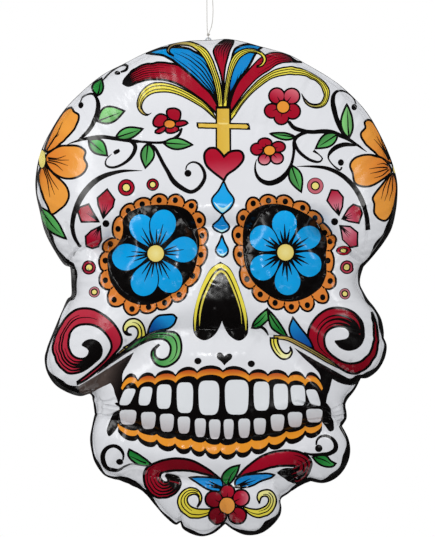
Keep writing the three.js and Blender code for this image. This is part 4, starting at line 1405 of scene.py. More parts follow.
def draw_lip():
    """The dots and the small curl over the upper lip."""
    dot(197.9, 361, 3.7, BLACK, 3.4)
    dot(251.3, 363.8, 3.7, BLACK, 3.4)
    lay(
        outline_of(
            [(224.2, 356.4), (221.6, 352.8), (218.4, 352.6), (216.6, 355.4), (217.6, 358.8), (221, 361.4),
             (224.4, 365.4)],
            [(224.4, 365.4), (228.4, 361.4), (231.6, 358.6), (232.4, 355.4), (230.2, 353.6), (226.8, 354.2),
             (224.2, 356.4)],
        ),
        BLACK,
    )


def draw_scrolls():
    """The large red scroll on each cheek."""
    # The left scroll's crimson pales outward from its middle: a mild painted reflection of a soft box.
    band(
        glow(CRIMSON, (0.76, 0.22, 0.29), np.array((96, 350)), 46),
        [(82.9, 344.4), (86.1, 341.5), (92, 340.2), (98.6, 343.2), (101.6, 349.4), (100.2, 356.6),
         (94.5, 362.2), (86.1, 368.9), (78, 372.6), (69, 373.2), (61.9, 368.9), (56.8, 361.2), (52.8, 350),
         (53.9, 340.8), (57.4, 331.3), (61.9, 323.6), (68.3, 315.3), (75.9, 309.9), (84.2, 308.3),
         (93.5, 309.6), (102.6, 314.2), (111, 320.8), (118, 329.8), (121.8, 339.5), (120.4, 346.4),
         (115.6, 352.6), (106.5, 362.5), (96, 371.9), (84.8, 380.4), (78, 383.8)],
        [(82.9, 345), (85.6, 346.4), (88, 348), (89.6, 350.4), (89.5, 352.8), (88, 356), (85.5, 358),
         (82.6, 358.9), (79, 358.6), (75.4, 357.4), (72.4, 355), (70.2, 351.8), (68.7, 347.8), (68.3, 343),
         (69, 337.2), (70.8, 331.9), (74.6, 327.4), (79.7, 324.9), (86.1, 324.2), (92.5, 324.9),
         (98.8, 327.6), (104.2, 332), (108.8, 338), (111.2, 343.6), (111.2, 348.6), (107.6, 356),
         (101.4, 363.1), (92, 371), (84, 377.2), (77.6, 381.8)],
        [(0.2, 0.15, 0.36, (2.6, 1.4, 1, 0.3)), (0.4, 0.14, 0.52, (3, 1.5, 1.2, 1, 0.5)),
         (0.57, 0.14, 0.6, (3, 1.6, 1.2, 1, 0.4)), (0.76, 0.14, 0.34, (3, 1.4, 0.9, 0.3))],
        line=1.9, head=0.17,
    )
    band(
        glow(CRIMSON, (0.52, 0.02, 0.1), np.array((322, 322)), 56),
        [(335.9, 341.9), (341, 347.2), (348.5, 349.7), (356.1, 347.9), (361.6, 342.6), (363.8, 334),
         (362.8, 325), (359.3, 318), (351, 311), (339.5, 307.8), (328, 309.2), (318, 315.6), (310.8, 325),
         (308, 334.5), (309.6, 344.5), (316.6, 352.4), (327, 359.2), (338.3, 367.1), (351, 373.4),
         (361, 371.8), (370.2, 363.9), (376, 354.5), (377.6, 347), (378, 337), (375.8, 322.4), (372.3, 313)],
        [(335.9, 341.5), (341.5, 340.9), (346.5, 339.7), (349.4, 337.2), (350.1, 333.9), (349.6, 331.4),
         (347.8, 328.8), (344.9, 327), (340.2, 326.3), (336, 326.5), (331, 328.3), (327.2, 331.4),
         (324.9, 335.4), (324.2, 339.6), (325.2, 346.4), (328.6, 352), (334.6, 357.2), (342.5, 361.9),
         (351.4, 363.6), (359.8, 361.7), (367.6, 356), (371.8, 348.8), (373.4, 342.5), (374.2, 334),
         (373, 322), (371.9, 313)],
        [(0.4, 0.14, 0.42, (4.4, 2.2, 1.4, 1.1, 0.4)), (0.6, 0.12, 0.56, (4.6, 2.6, 1.6, 1.2, 0.9, 0.4)),
         (0.83, 0.12, 0.38, (4, 2, 1.2, 0.4)), (0.12, 0.12, 0.24, (3.4, 2, 0.4))],
        line=1.9, head=0.15,
    )


def draw_cheeks():
    """The leaves and curls between the scrolls, the nose and the mouth."""
    draw_scrolls()
    band(
        fade(OLIVE, (0.93, 0.74, 0.3), (112, 358), (128, 346)),
        [(100, 368.6), (113.8, 357), (123, 349), (133.7, 340.6)],
        [(100, 370.4), (114.6, 359.4), (124.6, 351.6), (134.4, 344)], [(0.5, 0, 1, (0.5, 0.8, 0.6))],
        line=1.1,
    )
    band(
        fade(YELLOW, (0.93, 0.93, 0.66), (140, 336), (134, 318)),
        [(131, 334.9), (128.3, 335.2), (125.2, 333.7), (123.1, 329.1), (124.5, 323.8), (128.3, 319.9),
         (134.4, 318.6), (139.8, 320.7), (143.4, 325.4), (145, 331), (145.4, 336.4), (139.4, 340),
         (126, 349)],
        [(130.8, 334.3), (128.6, 333.8), (127.2, 332.6), (126.8, 330.7), (127.3, 328.9), (129, 327.2),
         (132.9, 326.2), (135.8, 327.4), (137.6, 329.8), (138.1, 333), (137.2, 336.8), (133, 341.8),
         (124, 347.4)],
        [(0.5, 0.34, 0.86, (0.3, 1.1, 1.2, 1))], line=1.5, head=0.15,
    )
    patch(
        fade(DEEP_BLUE, (0.08, 0.58, 0.86), (154, 333), (166, 320)),
        [(147.4, 334.8), (149, 328.4), (152.8, 320.7), (158.1, 315.9), (165.8, 314.8), (173.5, 314.8),
         (176.6, 317.9)],
        [(176.6, 317.9), (174.2, 323.8), (168.9, 328.2), (161.2, 330.1), (153.6, 332.2), (147.4, 334.8)],
        line=1.7,
    )
    band(
        fade(DEEP_GREEN, PALE_GREEN, (146, 340), (180, 350)),
        [(112, 360.4), (126.8, 348.8), (136.7, 340.4), (145.9, 336.2), (153.6, 332.6), (161.2, 331.3),
         (168.9, 331.7), (174.6, 332.4), (178.8, 336), (181.1, 342.9), (181.1, 351.3), (178, 359),
         (171.9, 364.3), (165, 366.8), (158.1, 365.5), (153.6, 361.3), (151.4, 355.1), (152.8, 349.8),
         (158.5, 345)],
        [(112, 362), (125.2, 352.8), (134.4, 347.5), (142.8, 342.9), (150.5, 339.8), (158.1, 338.7),
         (163, 339.2), (166.6, 340.8), (169.2, 343.6), (170.6, 347), (170.4, 351.6), (168.6, 356.4),
         (165.2, 359), (161.2, 359.7), (157.8, 358.4), (155.6, 356.2), (154.7, 353), (155.4, 348.8),
         (158.7, 345.2)],
        [(0.42, 0.26, 0.74, (0.3, 1.1, 1.2, 1.1, 0.3)), (0.68, 0.2, 0.5, (0.3, 0.9, 0.3))], line=1.8,
    )
    stroke([(97, 373.6), (106, 366), (116, 358.6), (126, 352.4), (133.7, 348.6)], (0.6, 1.8, 2, 1.8, 0.5))
    patch(
        fade(DEEP_GREEN, GREEN, (254, 324), (266, 314)),
        [(267.4, 308.7), (259.7, 315.1), (253.8, 322.2), (252, 327.8)],
        [(252, 327.8), (258.4, 328), (264.6, 322.9), (268.6, 319.4)],
        [(268.6, 319.4), (268, 314), (267.4, 308.7)],
    )
    patch(fade(GREEN, DEEP_GREEN, (268, 312), (284, 334)),
          [(267.4, 308.7), (275.6, 317.6), (282.7, 327.8), (288.4, 338.4)],
          [(288.4, 338.4), (280.1, 334), (271.6, 327.8), (268.8, 319), (267.4, 308.7)])
    stroke([(268, 311), (272.6, 319), (278, 327), (284, 334)], (1.2, 1.2, 1, 0.3))
    stroke([(253, 326.4), (260, 321), (266, 314)], (1.1, 1, 0.3))
    stroke([(257, 327.6), (262, 327.4), (266, 331), (268.4, 335.4)], (1.8, 2.4, 2.2, 1))
    patch(fade((0.08, 0.56, 0.84), DEEP_BLUE, (294, 322), (310, 348)),
          [(292.9, 317.4), (300.5, 327.8), (309.4, 339.3), (313.8, 349)],
          [(313.8, 349), (303.1, 344.8), (292.4, 338), (289.2, 329.1), (292.9, 317.4)])
    band(
        fade(OLIVE, GOLD, (322, 354), (276, 338)),
        [(274, 335.6), (287, 336.4), (300, 342.2), (312.8, 349.2), (325.5, 356.9), (338.3, 366)],
        [(274, 338.6), (287, 340.4), (300, 347), (312.8, 354), (325.5, 361.6), (338.3, 368)],
        [(0.5, 0.15, 1, (0.3, 0.7, 0.7, 0.5))], line=1.1,
    )
    band(
        fade(YELLOW, (0.95, 0.94, 0.7), (273, 342), (282, 358)),
        [(270.5, 338), (270.6, 342.6), (271.8, 347.4), (276.3, 354.6), (282.7, 359.1), (289, 357.8),
         (292.2, 352), (290.3, 347.2)],
        [(277.6, 338.2), (277.6, 341.2), (278.4, 344.4), (281.2, 350), (285.2, 353.4), (288.6, 352.8),
         (290.6, 349.8), (290.1, 347.6)],
        [(0.45, 0, 0.5, (1, 1.1, 0.3))], line=1.5,
    )


def draw_chin():
    """Rings, scrolls, leaves and the flower on the chin."""
    stroke(
        [(122.9, 460.2), (123.4, 454.6), (119.8, 448.5), (113.7, 445.9), (106.5, 448.5), (103, 454.6),
         (103, 460.7), (106, 466.8), (111.6, 469.9), (118.8, 469.9), (124.9, 466.3), (130, 464.3),
         (137.1, 465.3), (145.3, 466.3)],
        (1.2, 2.2, 3, 2.8, 3.2, 3.8, 3.8, 3.4, 3, 2.4, 2, 1.5, 1.3, 0.8),
    )
    dot(119.6, 461.9, 3.8, BLACK, 3)
    stroke(
        [(316.4, 445), (316.6, 441), (319.4, 437.4), (324.3, 435.7), (331.4, 438), (335.6, 443.9),
         (335.2, 449.5), (330.9, 453.1), (322.2, 454.3), (312, 454.6), (303.9, 452.8)],
        (1.4, 1.8, 2.2, 2.4, 3.2, 3.8, 3.4, 3, 2.4, 2, 1.4),
    )
    dot(318.7, 448.3, 3.8)
    patch(fade(DEEP_GREEN, (0.24, 0.62, 0.3), (142, 456), (138, 465)),
          [(129.3, 449.4), (138.2, 454.1), (146.3, 459.7), (151.4, 464.3)],
          [(151.4, 464.3), (147, 465.9), (139.2, 464.8), (132, 460.7), (128, 454.6), (129.3, 449.4)])
    stroke([(130, 456), (137, 459.6), (146, 463)], (0.3, 1, 1.2))
    patch(fade(DEEP_GREEN, (0.24, 0.62, 0.3), (318, 458), (332, 464)),
          [(312.6, 457.2), (320.2, 455.1), (326.3, 455.8), (330.4, 460.4), (335.7, 463.6)],
          [(335.7, 463.6), (331.4, 466.6), (323.3, 466.1), (317.1, 462.6), (312.6, 457.2)])
    stroke([(316, 457.6), (324, 460), (331, 464)], (1.2, 1, 0.3))
    band(
        fade(CRIMSON, DEEP_RED, (156, 492), (172, 468)),
        [(166.5, 475.3), (172, 476), (178, 478), (180.6, 482.6), (179.5, 487.6), (174.9, 493.4),
         (166.7, 497.4), (158.6, 497.4), (151.4, 494.4), (145.8, 486.2), (143.8, 477), (145.3, 469.9),
         (151.4, 464.9), (161.6, 460.7), (171.8, 458.7), (182, 458.7), (192.2, 460.7), (202.4, 465.8),
         (211.6, 471.9), (219.8, 478.6)],
        [(166.2, 475.7), (167, 477), (168, 478.8), (168.2, 480.4), (167.8, 481.6), (166.9, 482.2),
         (165.6, 482.2), (164.2, 481.8), (162.6, 480.8), (161, 479.2), (160, 477.2), (160.2, 475),
         (161.6, 473.4), (165, 471.8), (169.8, 470.9), (180, 470.4), (190.2, 470.9), (200.4, 473),
         (210.6, 475.6), (219.4, 479.2)],
        rules(4, 0.1, 0.44, (2.4, 1.4, 1, 0.3)), line=1.9, head=0.1,
    )
    band(
        fade(DEEP_RED, CRIMSON, (302, 478), (280, 458)),
        [(278.7, 473.2), (284.5, 477.2), (291.6, 481.6), (299.8, 482.1), (305.9, 477), (310, 469.9),
         (311.5, 463.8), (309.6, 458.2), (303.9, 454.1), (294.7, 451), (283.5, 450.5), (271.2, 452.6),
         (261, 456.6), (250.8, 463.8), (243.7, 469.9), (237.4, 477.2)],
        [(279, 472.6), (281, 470.8), (284.6, 469.2), (289.6, 468.8), (293.6, 468.8), (295.4, 468),
         (295.8, 467), (294.6, 466.2), (291.6, 465.8), (286.8, 465.6), (281.4, 465.8), (271.2, 467.3),
         (263.1, 469.9), (253.9, 472.4), (245.6, 474.6), (238.4, 478.2)],
        rules(3, 0.1, 0.42, (3.2, 1.8, 1.1, 0.3)), line=1.9, head=0.15,
    )
    cyan = (0.1, 0.58, 0.88)
    patch(fade(PLUME_BLUE, cyan, (220, 482), (200, 480)),
          [(188.7, 477.4), (202.4, 477), (213, 477.8), (221.6, 479.4), (223.4, 486)],
          [(223.4, 486), (219.3, 491.6), (209.6, 490.1), (200.4, 485), (194.3, 481), (188.7, 477.4)])
    patch(
        fade(PLUME_BLUE, cyan, (238, 482), (262, 476)),
        [(235.5, 487.2), (235, 482), (237.6, 478.2), (244.7, 475.2), (255.9, 474), (267.1, 473.5),
         (274.6, 475)],
        [(274.6, 475), (271.2, 477.6), (261, 481.1), (253.9, 485), (243.7, 487.6), (235.5, 487.2)],
    )
    for end in ((207.6, 480.4), (205, 483.6), (209, 487)):
        hatch((222, 488), end, (2.2, 1.4, 0.2))
    for end in ((250.8, 478.4), (256, 480), (252, 483.6)):
        hatch((236, 486.6), end, (2.2, 1.4, 0.2))
    patch(fade(DEEP_GREEN, (0.2, 0.58, 0.28), (226, 476), (236, 478)),
          [(239.6, 465), (230, 467.9), (223.9, 473), (221.6, 480), (226.9, 486)],
          [(226.9, 486), (233.1, 480.1), (237.1, 473), (239.6, 465)])
    stroke([(227.4, 485), (230.6, 476), (236.6, 468.6)], (1.4, 1, 0.3))
    band(
        fade(YELLOW, (0.86, 0.78, 0.2), (184, 500), (206, 512)),
        [(213, 511.6), (206.5, 515.8), (197.3, 518.2), (188.2, 516.6), (181, 510.7), (177.6, 502.6),
         (179.2, 495.6), (184.1, 490), (191.2, 487.6), (198.4, 490.5), (201.7, 496.4), (200.8, 502.4),
         (197.7, 506.8)],
        [(213, 509), (203.6, 509.2), (196.6, 508.8), (191.4, 506.6), (188.1, 503.4), (187.1, 499.5),
         (188.2, 496.8), (190.2, 495.2), (194, 494.2), (197.4, 495.6), (199, 498.4), (199.2, 502.4),
         (197.3, 506.4)],
        [(0.36, 0.04, 0.8, (0.5, 0.9, 0.9, 0.9, 0.8)), (0.7, 0.3, 0.86, (0.4, 0.9, 0.9, 0.9))], line=1.35,
    )
    band(
        fade(YELLOW, (0.94, 0.92, 0.6), (262, 512), (266, 492)),
        [(243.4, 508.4), (248.8, 513.8), (255.9, 517.1), (264.1, 516.6), (272.2, 511.6), (276.1, 503.6),
         (275.6, 496.4), (271.2, 490.9), (265.1, 489.7), (259, 492.4), (257.1, 497.4), (259.3, 503.1)],
        [(243.6, 506.8), (249.6, 508.6), (256.6, 509.2), (262, 508), (266.4, 505), (268.5, 501.4),
         (268.4, 498.4), (266.6, 496.4), (264, 496), (261.4, 497.4), (260.3, 500), (259.6, 503)],
        [(0.4, 0.04, 0.72, (0.4, 0.9, 0.9, 0.8)), (0.72, 0.25, 0.8, (0.4, 0.8, 0.8, 0.6))], line=1.35,
    )
    red = fade((0.7, 0.07, 0.18), DEEP_RED, (240, 495), (218, 515))
    # The right petal pales towards its right side: a painted highlight.
    round_flower(
        [(227.4, 492, 7.4, 7.4, red), (241, 498, 8.4, 8.4, fade(CRIMSON, PAINTED_HIGHLIGHT_RED, (238, 498), (250, 499))),
         (237.4, 515.4, 9, 8.4, red), (217.6, 515.6, 9, 8.6, red), (214, 499.4, 8.8, 8.4, red)],
        (227.1, 505.6, 8.2, 8.6, (0.93, 0.62, 0.28)), line=1.0,
    )


layers += contour()
draw_orange_flowers()
draw_left_vine()
draw_right_vine()
draw_brows()
draw_plumes()
draw_cross_and_heart()
draw_drops()
for disc, dots, flower in zip(EYE_DISCS, EYE_DOTS, EYE_FLOWERS):
    draw_eye(disc, dots, *flower)
draw_nose()
draw_mouth()
draw_lip()
draw_cheeks()
draw_chin()


# Pieces and materials

# Noise patterns, each with its waves to the metre, detail, roughness and stretch, and the range that it is
# brought to, or the height and strength of its relief
GRIME, GRIME_RANGE = (18, 3), (0.965, 1.0)
FILM_SHINE, FILM_ROUGHNESS = (60, 3), (0.13, 0.24)
RIPPLES, RIPPLE_RELIEF = (22, 2, 0.4), (0.005, 0.22)
CRINKLES, CRINKLE_RELIEF = (110, 2, 0.4), (0.0006, 0.08)
CLOUD, CLOUD_RANGE = (400, 3), (0.93, 1.0)
VINYL_SHINE, VINYL_SMOOTHEST, VINYL_ROUGHEST = (900, 2), 0.85, 1.2
PORES, PORE_RELIEF = (1600, 2), (0.0001, 0.3)
FIBRES, FIBRE_RELIEF = (5200, 3, 0.6, (1, 1, 0.35)), (0.00008, 0.6)
# Thread: where its darker and paler ends lie in the pattern, with their colours, its roughness and its sheen
THREAD_TONES = ((0.3, (0.66, 0.64, 0.61)), (0.7, (0.84, 0.83, 0.8)))
THREAD_ROUGHNESS, THREAD_SHEEN = (0.7, 0.9), 0.3
FILM_IOR, VINYL_IOR = 1.53, 1.5
SPECULAR_LEVEL = 0.5
WEB_WHITE = (0.88, 0.89, 0.9)
VALVE_WHITE, VALVE_ROUGHNESS = (0.88, 0.88, 0.87), 0.38
CLEAR_VINYL, CLEAR_ROUGHNESS, CLEARNESS = (0.88, 0.9, 0.92), 0.12, 0.6
# The sRGB curve: its knee, the slope below it, and the offset and power above it
SRGB_KNEE, SRGB_SLOPE, SRGB_OFFSET, SRGB_POWER = 0.04045, 12.92, 0.055, 2.4


def linear(colour):
    """sRGB to linear light."""
    colour = np.asarray(colour, float)
    above = ((colour + SRGB_OFFSET) / (1 + SRGB_OFFSET)) ** SRGB_POWER
    return np.where(colour <= SRGB_KNEE, colour / SRGB_SLOPE, above)


def new_material(name):
    """A material with only its surface shader."""
    material = bpy.data.materials.new(name)
    material.use_nodes = True
    nodes, links = material.node_tree.nodes, material.node_tree.links
    nodes.clear()
    shader = nodes.new("ShaderNodeBsdfPrincipled")
    output = nodes.new("ShaderNodeOutputMaterial")
    links.new(shader.outputs[0], output.inputs["Surface"])
    return material, nodes, links, shader


def noise(nodes, links, scale, detail=2.0, roughness=0.5, stretch=(1, 1, 1)):
    """A noise pattern fixed to the object, with scale in waves to the metre."""
    place = nodes.new("ShaderNodeTexCoord")
    mapping = nodes.new("ShaderNodeMapping")
    mapping.inputs["Scale"].default_value = stretch
    pattern = nodes.new("ShaderNodeTexNoise")
    pattern.inputs["Scale"].default_value = scale
    pattern.inputs["Detail"].default_value = detail
    pattern.inputs["Roughness"].default_value = roughness
    links.new(place.outputs["Object"], mapping.inputs["Vector"])
    links.new(mapping.outputs[0], pattern.inputs["Vector"])
    return pattern.outputs["Fac"]


def spread(nodes, links, value, low, high, from_low=0.3, from_high=0.7):
    """A pattern's value brought to a range."""
    ranged = nodes.new("ShaderNodeMapRange")
    ranged.inputs["From Min"].default_value = from_low
    ranged.inputs["From Max"].default_value = from_high
    ranged.inputs["To Min"].default_value = low
    ranged.inputs["To Max"].default_value = high
    links.new(value, ranged.inputs["Value"])
    return ranged.outputs[0]


def bump(nodes, links, height, distance, strength, before=None):
    """A pattern's relief, laid over another relief where one is given."""
    relief = nodes.new("ShaderNodeBump")
    relief.inputs["Distance"].default_value = distance
    relief.inputs["Strength"].default_value = strength
    links.new(height, relief.inputs["Height"])
    if before:
        links.new(before, relief.inputs["Normal"])
    return relief.outputs[0]


def tinted(nodes, links, shade, base, ink_attribute=None):
    """A colour, or the mesh's own colours, times a shade."""
    product = nodes.new("ShaderNodeMix")
    product.data_type = "RGBA"
    product.blend_type = "MULTIPLY"
    product.inputs["Factor"].default_value = 1
    if ink_attribute:
        ink = nodes.new("ShaderNodeVertexColor")
        ink.layer_name = ink_attribute
        links.new(ink.outputs["Color"], product.inputs["A"])
    else:
        product.inputs["A"].default_value = (*linear(base), 1)
    links.new(shade, product.inputs["B"])
    return product.outputs["Result"]


def film_material(name, ink_attribute=None, base=WHITE):
    """Glossy PVC film, faintly rippled, with its printed ink."""
    material, nodes, links, shader = new_material(name)
    grime = spread(nodes, links, noise(nodes, links, *GRIME), *GRIME_RANGE)
    links.new(tinted(nodes, links, grime, base, ink_attribute), shader.inputs["Base Color"])
    rough = spread(nodes, links, noise(nodes, links, *FILM_SHINE), *FILM_ROUGHNESS)
    links.new(rough, shader.inputs["Roughness"])
    shader.inputs["IOR"].default_value = FILM_IOR
    shader.inputs["Specular IOR Level"].default_value = SPECULAR_LEVEL
    ripples = bump(nodes, links, noise(nodes, links, *RIPPLES), *RIPPLE_RELIEF)
    crinkles = bump(nodes, links, noise(nodes, links, *CRINKLES), *CRINKLE_RELIEF, ripples)
    links.new(crinkles, shader.inputs["Normal"])
    return material


def vinyl_material(name, base, roughness, clear=0.0):
    """Moulded soft vinyl, slightly cloudy."""
    material, nodes, links, shader = new_material(name)
    cloud = spread(nodes, links, noise(nodes, links, *CLOUD), *CLOUD_RANGE)
    links.new(tinted(nodes, links, cloud, base), shader.inputs["Base Color"])
    smoothest, roughest = roughness * VINYL_SMOOTHEST, roughness * VINYL_ROUGHEST
    rough = spread(nodes, links, noise(nodes, links, *VINYL_SHINE), smoothest, roughest)
    links.new(rough, shader.inputs["Roughness"])
    shader.inputs["Transmission Weight"].default_value = clear
    shader.inputs["IOR"].default_value = VINYL_IOR
    links.new(bump(nodes, links, noise(nodes, links, *PORES), *PORE_RELIEF), shader.inputs["Normal"])
    return material


def thread_material(name):
    """Off-white spun thread with fine fibres."""
    material, nodes, links, shader = new_material(name)
    fibres = noise(nodes, links, *FIBRES)
    ramp = nodes.new("ShaderNodeValToRGB")
    for end, (position, tone) in zip(ramp.color_ramp.elements, THREAD_TONES):
        end.position = position
        end.color = (*linear(tone), 1)
    links.new(fibres, ramp.inputs[0])
    links.new(ramp.outputs[0], shader.inputs["Base Color"])
    links.new(spread(nodes, links, fibres, *THREAD_ROUGHNESS), shader.inputs["Roughness"])
    shader.inputs["Sheen Weight"].default_value = THREAD_SHEEN
    links.new(bump(nodes, links, fibres, *FIBRE_RELIEF), shader.inputs["Normal"])
    return material


def add_piece(name, verts, faces, material, body, slot):
    """A smooth mesh that rides on a body of the frame."""
    mesh = bpy.data.meshes.new(name)
    mesh.from_pydata([tuple(v) for v in np.asarray(verts).tolist()], [], [tuple(f) for f in faces])
    mesh.materials.append(material)
    mesh.polygons.foreach_set("use_smooth", [True] * len(mesh.polygons))
    piece = link(name, mesh)
    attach(piece, body)
    return piece


# The film meshes

# How far apart points lie on the open film and along a tie, and the rings of points at the seam, in shares
# of its width
FREE_GRID = 0.004
TIE_STEP = 0.003
SEAM_RINGS = (0.25, 0.5, 0.75, 1.0, 1.25)
RING_EVERY = 2
# Points closer than this are one, and how far to each side a slope is measured
WELD = 1e-6
NORMAL_STEP = 0.0002
PRINT_COLOURS = "print"


def hexagons(low, high, spacing):
    """Points all over a rectangle, each with six neighbours."""
    rows = np.arange(low[1], high[1], spacing * 3**0.5 / 2)
    found = []
    for k, row in enumerate(rows):
        across = np.arange(low[0] + (k % 2) * spacing / 2, high[0], spacing)
        found.append(np.stack([across, np.full(len(across), row)], -1))
    return np.vstack(found)


def triangulated(loops, lines, free):
    """Triangles over a flat drawing, with an edge along every loop and line."""
    points, edges = [], []
    for line, closed in [(loop, True) for loop in loops] + [(line, False) for line in lines]:
        first = len(points)
        points.extend(line.tolist())
        edges.extend((first + k, first + k + 1) for k in range(len(line) - 1))
        if closed:
            edges.append((first + len(line) - 1, first))
    points.extend(free.tolist())
    verts, _, faces, *_ = delaunay_2d_cdt([Vector(p) for p in points], edges, [], 0, WELD)
    return np.array([tuple(v) for v in verts]), np.array(faces)


def edge_rings(faces):
    """The vertices along each open edge of a sheet of triangles, in order."""
    directed = np.vstack([faces[:, [0, 1]], faces[:, [1, 2]], faces[:, [2, 0]]]).tolist()
    known = {tuple(edge) for edge in directed}
    following = {a: b for a, b in known if (b, a) not in known}
    rings = []
    while following:
        ring = [next(iter(following))]
        while ring[-1] in following:
            ring.append(following.pop(ring[-1]))
        rings.append(ring[:-1])
    return rings


def printed(flat, faces, loops, print_layers, shown):
    """The ink at each corner of a film's triangles: that of the last layer over the triangle."""
    middles = flat[faces].mean(1)
    top = np.full(len(faces), -1)
    for k, loop in enumerate(loops):
        top[inside(middles, loop)] = k
    colours = np.tile(np.asarray(WHITE, float), (len(faces), 3, 1))
    for k in np.unique(top[top >= 0]):
        ink = print_layers[k][1]
        chosen = np.flatnonzero(top == k)
        places = shown[faces[chosen].ravel()]
        colours[chosen] = ink(places).reshape(-1, 3, 3) if callable(ink) else ink
    return colours


def film_normals(film, places):
    """The film's outward direction over places of its flat pattern."""
    step = np.array([NORMAL_STEP, 0])
    up = step[::-1]

    def at(shift):
        """The blown-up film beside the places."""
        return film.blown(film.unflattened(places + shift))

    across = at(step) - at(-step)
    along = at(up) - at(-up)
    normal = unit(np.cross(across, along))
    return normal * np.sign(normal[:, 1:2]) * film.side


def flat_film(film, loops, holes):
    """The flat film, cut into triangles along its print, its ties and its folds."""
    rim = film.flattened(rim_xz)
    seam_share = SEAM_WIDTH / even_radius.mean()
    ring = rim_xz[::RING_EVERY] - CENTRE
    rings = [film.flattened(CENTRE + ring * (1 - share * seam_share)) for share in SEAM_RINGS]
    holes = [film.flattened(hole) for hole in holes]
    lines = [even(film.flattened(line), False, TIE_STEP) for line, *_ in tie_lines]
    free = [hexagons(rim.min(0), rim.max(0), FREE_GRID)]
    for line, _, half in film.folds:
        free += [film.flattened(beside(line, across * half)) for across in FOLD_ROWS]
    free = np.vstack(free)
    free = free[inside(free, rings[-1])]
    flat, faces = triangulated([rim, *rings, *holes, *loops], lines, free)
    kept = inside(flat[faces].mean(1), rim)
    for hole in holes:
        kept &= ~inside(flat[faces].mean(1), hole)
    used, faces = np.unique(faces[kept], return_inverse=True)
    return flat[used], faces.reshape(-1, 3)


def add_film(film, name, node, slot, print_layers, holes=()):
    """A film as a thin closed sheet: its printed outer face, its plain inner face and the cut edge."""
    loops = [film.flattened(film.seen_from(loop)) for loop, _ in print_layers]
    flat, faces = flat_film(film, loops, holes)
    outer = film.blown(film.unflattened(flat))
    normals = film_normals(film, flat)
    if film.side > 0:
        faces = faces[:, ::-1]
    colours = printed(flat, faces, loops, print_layers, film.shown_at(outer))
    inner = outer - normals * FILM_WALL
    count = len(outer)
    walls = []
    for ring in edge_rings(faces):
        inner[ring] = outer[ring] - (0, film.side * FILM_WALL, 0)
        walls += [(b, a, a + count, b + count) for a, b in zip(ring, ring[1:] + ring[:1])]
    all_faces = faces.tolist() + (faces[:, ::-1] + count).tolist() + walls
    material = film_material(slot, PRINT_COLOURS)
    piece = add_piece(name, np.vstack([outer, inner]), all_faces, material, "skull", slot)
    corners = np.ones((len(piece.data.loops), 4))
    corners[:, :3] = linear(WHITE)
    corners[: faces.size, :3] = linear(colours.reshape(-1, 3))
    attribute = piece.data.color_attributes.new(PRINT_COLOURS, "FLOAT_COLOR", "CORNER")
    attribute.data.foreach_set("color", corners.ravel())
    piece.data.normals_split_custom_set_from_vertices(np.vstack([normals, -normals]).tolist())
    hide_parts(node)


# The hole in the back film that the valve's neck stands in
NECK_RADIUS = 0.006
NECK_SIDES = 32
valve_low, valve_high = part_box("valve_body")
valve_place = np.array([(valve_low.x + valve_high.x) / 2, (valve_low.z + valve_high.z) / 2])
neck_hole = valve_place + NECK_RADIUS * ellipse(0, 0, 1, 1, NECK_SIDES)
add_film(front, "front_film", "front_panel", "printed_film", layers)
add_film(back, "back_film", "back_panel", "back_film", contour(), [neck_hole])


# The thread

# How wide the thread is, and its two plies: radius, distance from its middle, length of a turn, and sides
THREAD_WIDE = 0.0009
PLY_RADIUS = 0.00025
PLY_OFFSET = 0.0002
PLY_PITCH = 0.0032
PLY_SIDES = 6
# A direction that no swept line starts in
ASKEW = (0.3, 1, 0.2)
# How far apart points lie along the long loop and along the bight, and which of the loop's points say how
# it runs
LOOP_STEP, BIGHT_STEP = 0.0004, 0.0003
# The middle line of the long loop from the knot up and back, and of the bight through the eyelet
LOOP_ROUTE = [
    (-0.00075, 0, -0.0575), (-0.001, 0, -0.0566), (-0.0013, 0, -0.05), (-0.0015, 0, -0.036),
    (-0.0016, 0, -0.02), (-0.0021, 0, -0.008), (-0.0022, 0, -0.0026), (0, 0, 0), (0.0022, 0, -0.0026),
    (0.003, 0, -0.008), (0.0046, 0, -0.022), (0.005, 0, -0.038), (0.0036, 0, -0.05), (0.0015, 0, -0.056),
    (0.00085, 0, -0.05754),
]
BIGHT_ROUTE = [
    (0, -0.00125, -0.061394), (0, -0.0018, -0.063524), (0, 0, -0.065124), (0, 0.0018, -0.063524),
    (0, 0.00125, -0.061394),
]
# The knot goes twice round while it goes three times over and under. How far out it runs, how much that
# sways, and half its height
KNOT_MIDDLE = (0, 0, -0.059574)
KNOT_ROUND, KNOT_OVER = 2, 3
KNOT_OUT, KNOT_SWAY, KNOT_TALL = 0.00092, 0.0005, 0.00085
KNOT_POINTS, KNOT_SIDES = 90, 10


def frames_along(line, closed=False):
    """Two directions across a line at each of its points, which turn as little as they can."""
    runs = unit(around(line)) if closed else unit(np.gradient(line, axis=0))
    across = np.cross(runs[0], ASKEW)
    frames = []
    for ahead in runs:
        across = across - ahead * (across @ ahead)
        across = across / np.linalg.norm(across)
        frames.append((across, np.cross(ahead, across)))
    return frames


def sweep(line, radius, sides, closed=False):
    """A round tube along a line of points, with closed ends."""
    line = np.asarray(line, float)
    count = len(line)
    verts = []
    for place, (across, other) in zip(line, frames_along(line, closed)):
        verts.extend(place + radius * (np.cos(a) * across + np.sin(a) * other) for a in turns(sides))
    faces = []
    rings = count if closed else count - 1
    for k in range(rings):
        for s in range(sides):
            a, b = k * sides + s, k * sides + (s + 1) % sides
            c, d = (k + 1) % count * sides + (s + 1) % sides, (k + 1) % count * sides + s
            faces.append((a, b, c, d))
    if not closed:
        faces.append(tuple(range(sides))[::-1])
        faces.append(tuple((count - 1) * sides + s for s in range(sides)))
    return np.array(verts), faces


def joined(parts):
    """Several meshes as one."""
    verts, faces, start = [], [], 0
    for part_verts, part_faces in parts:
        verts.append(part_verts)
        faces.extend(tuple(start + k for k in face) for face in part_faces)
        start += len(part_verts)
    return np.vstack(verts), faces


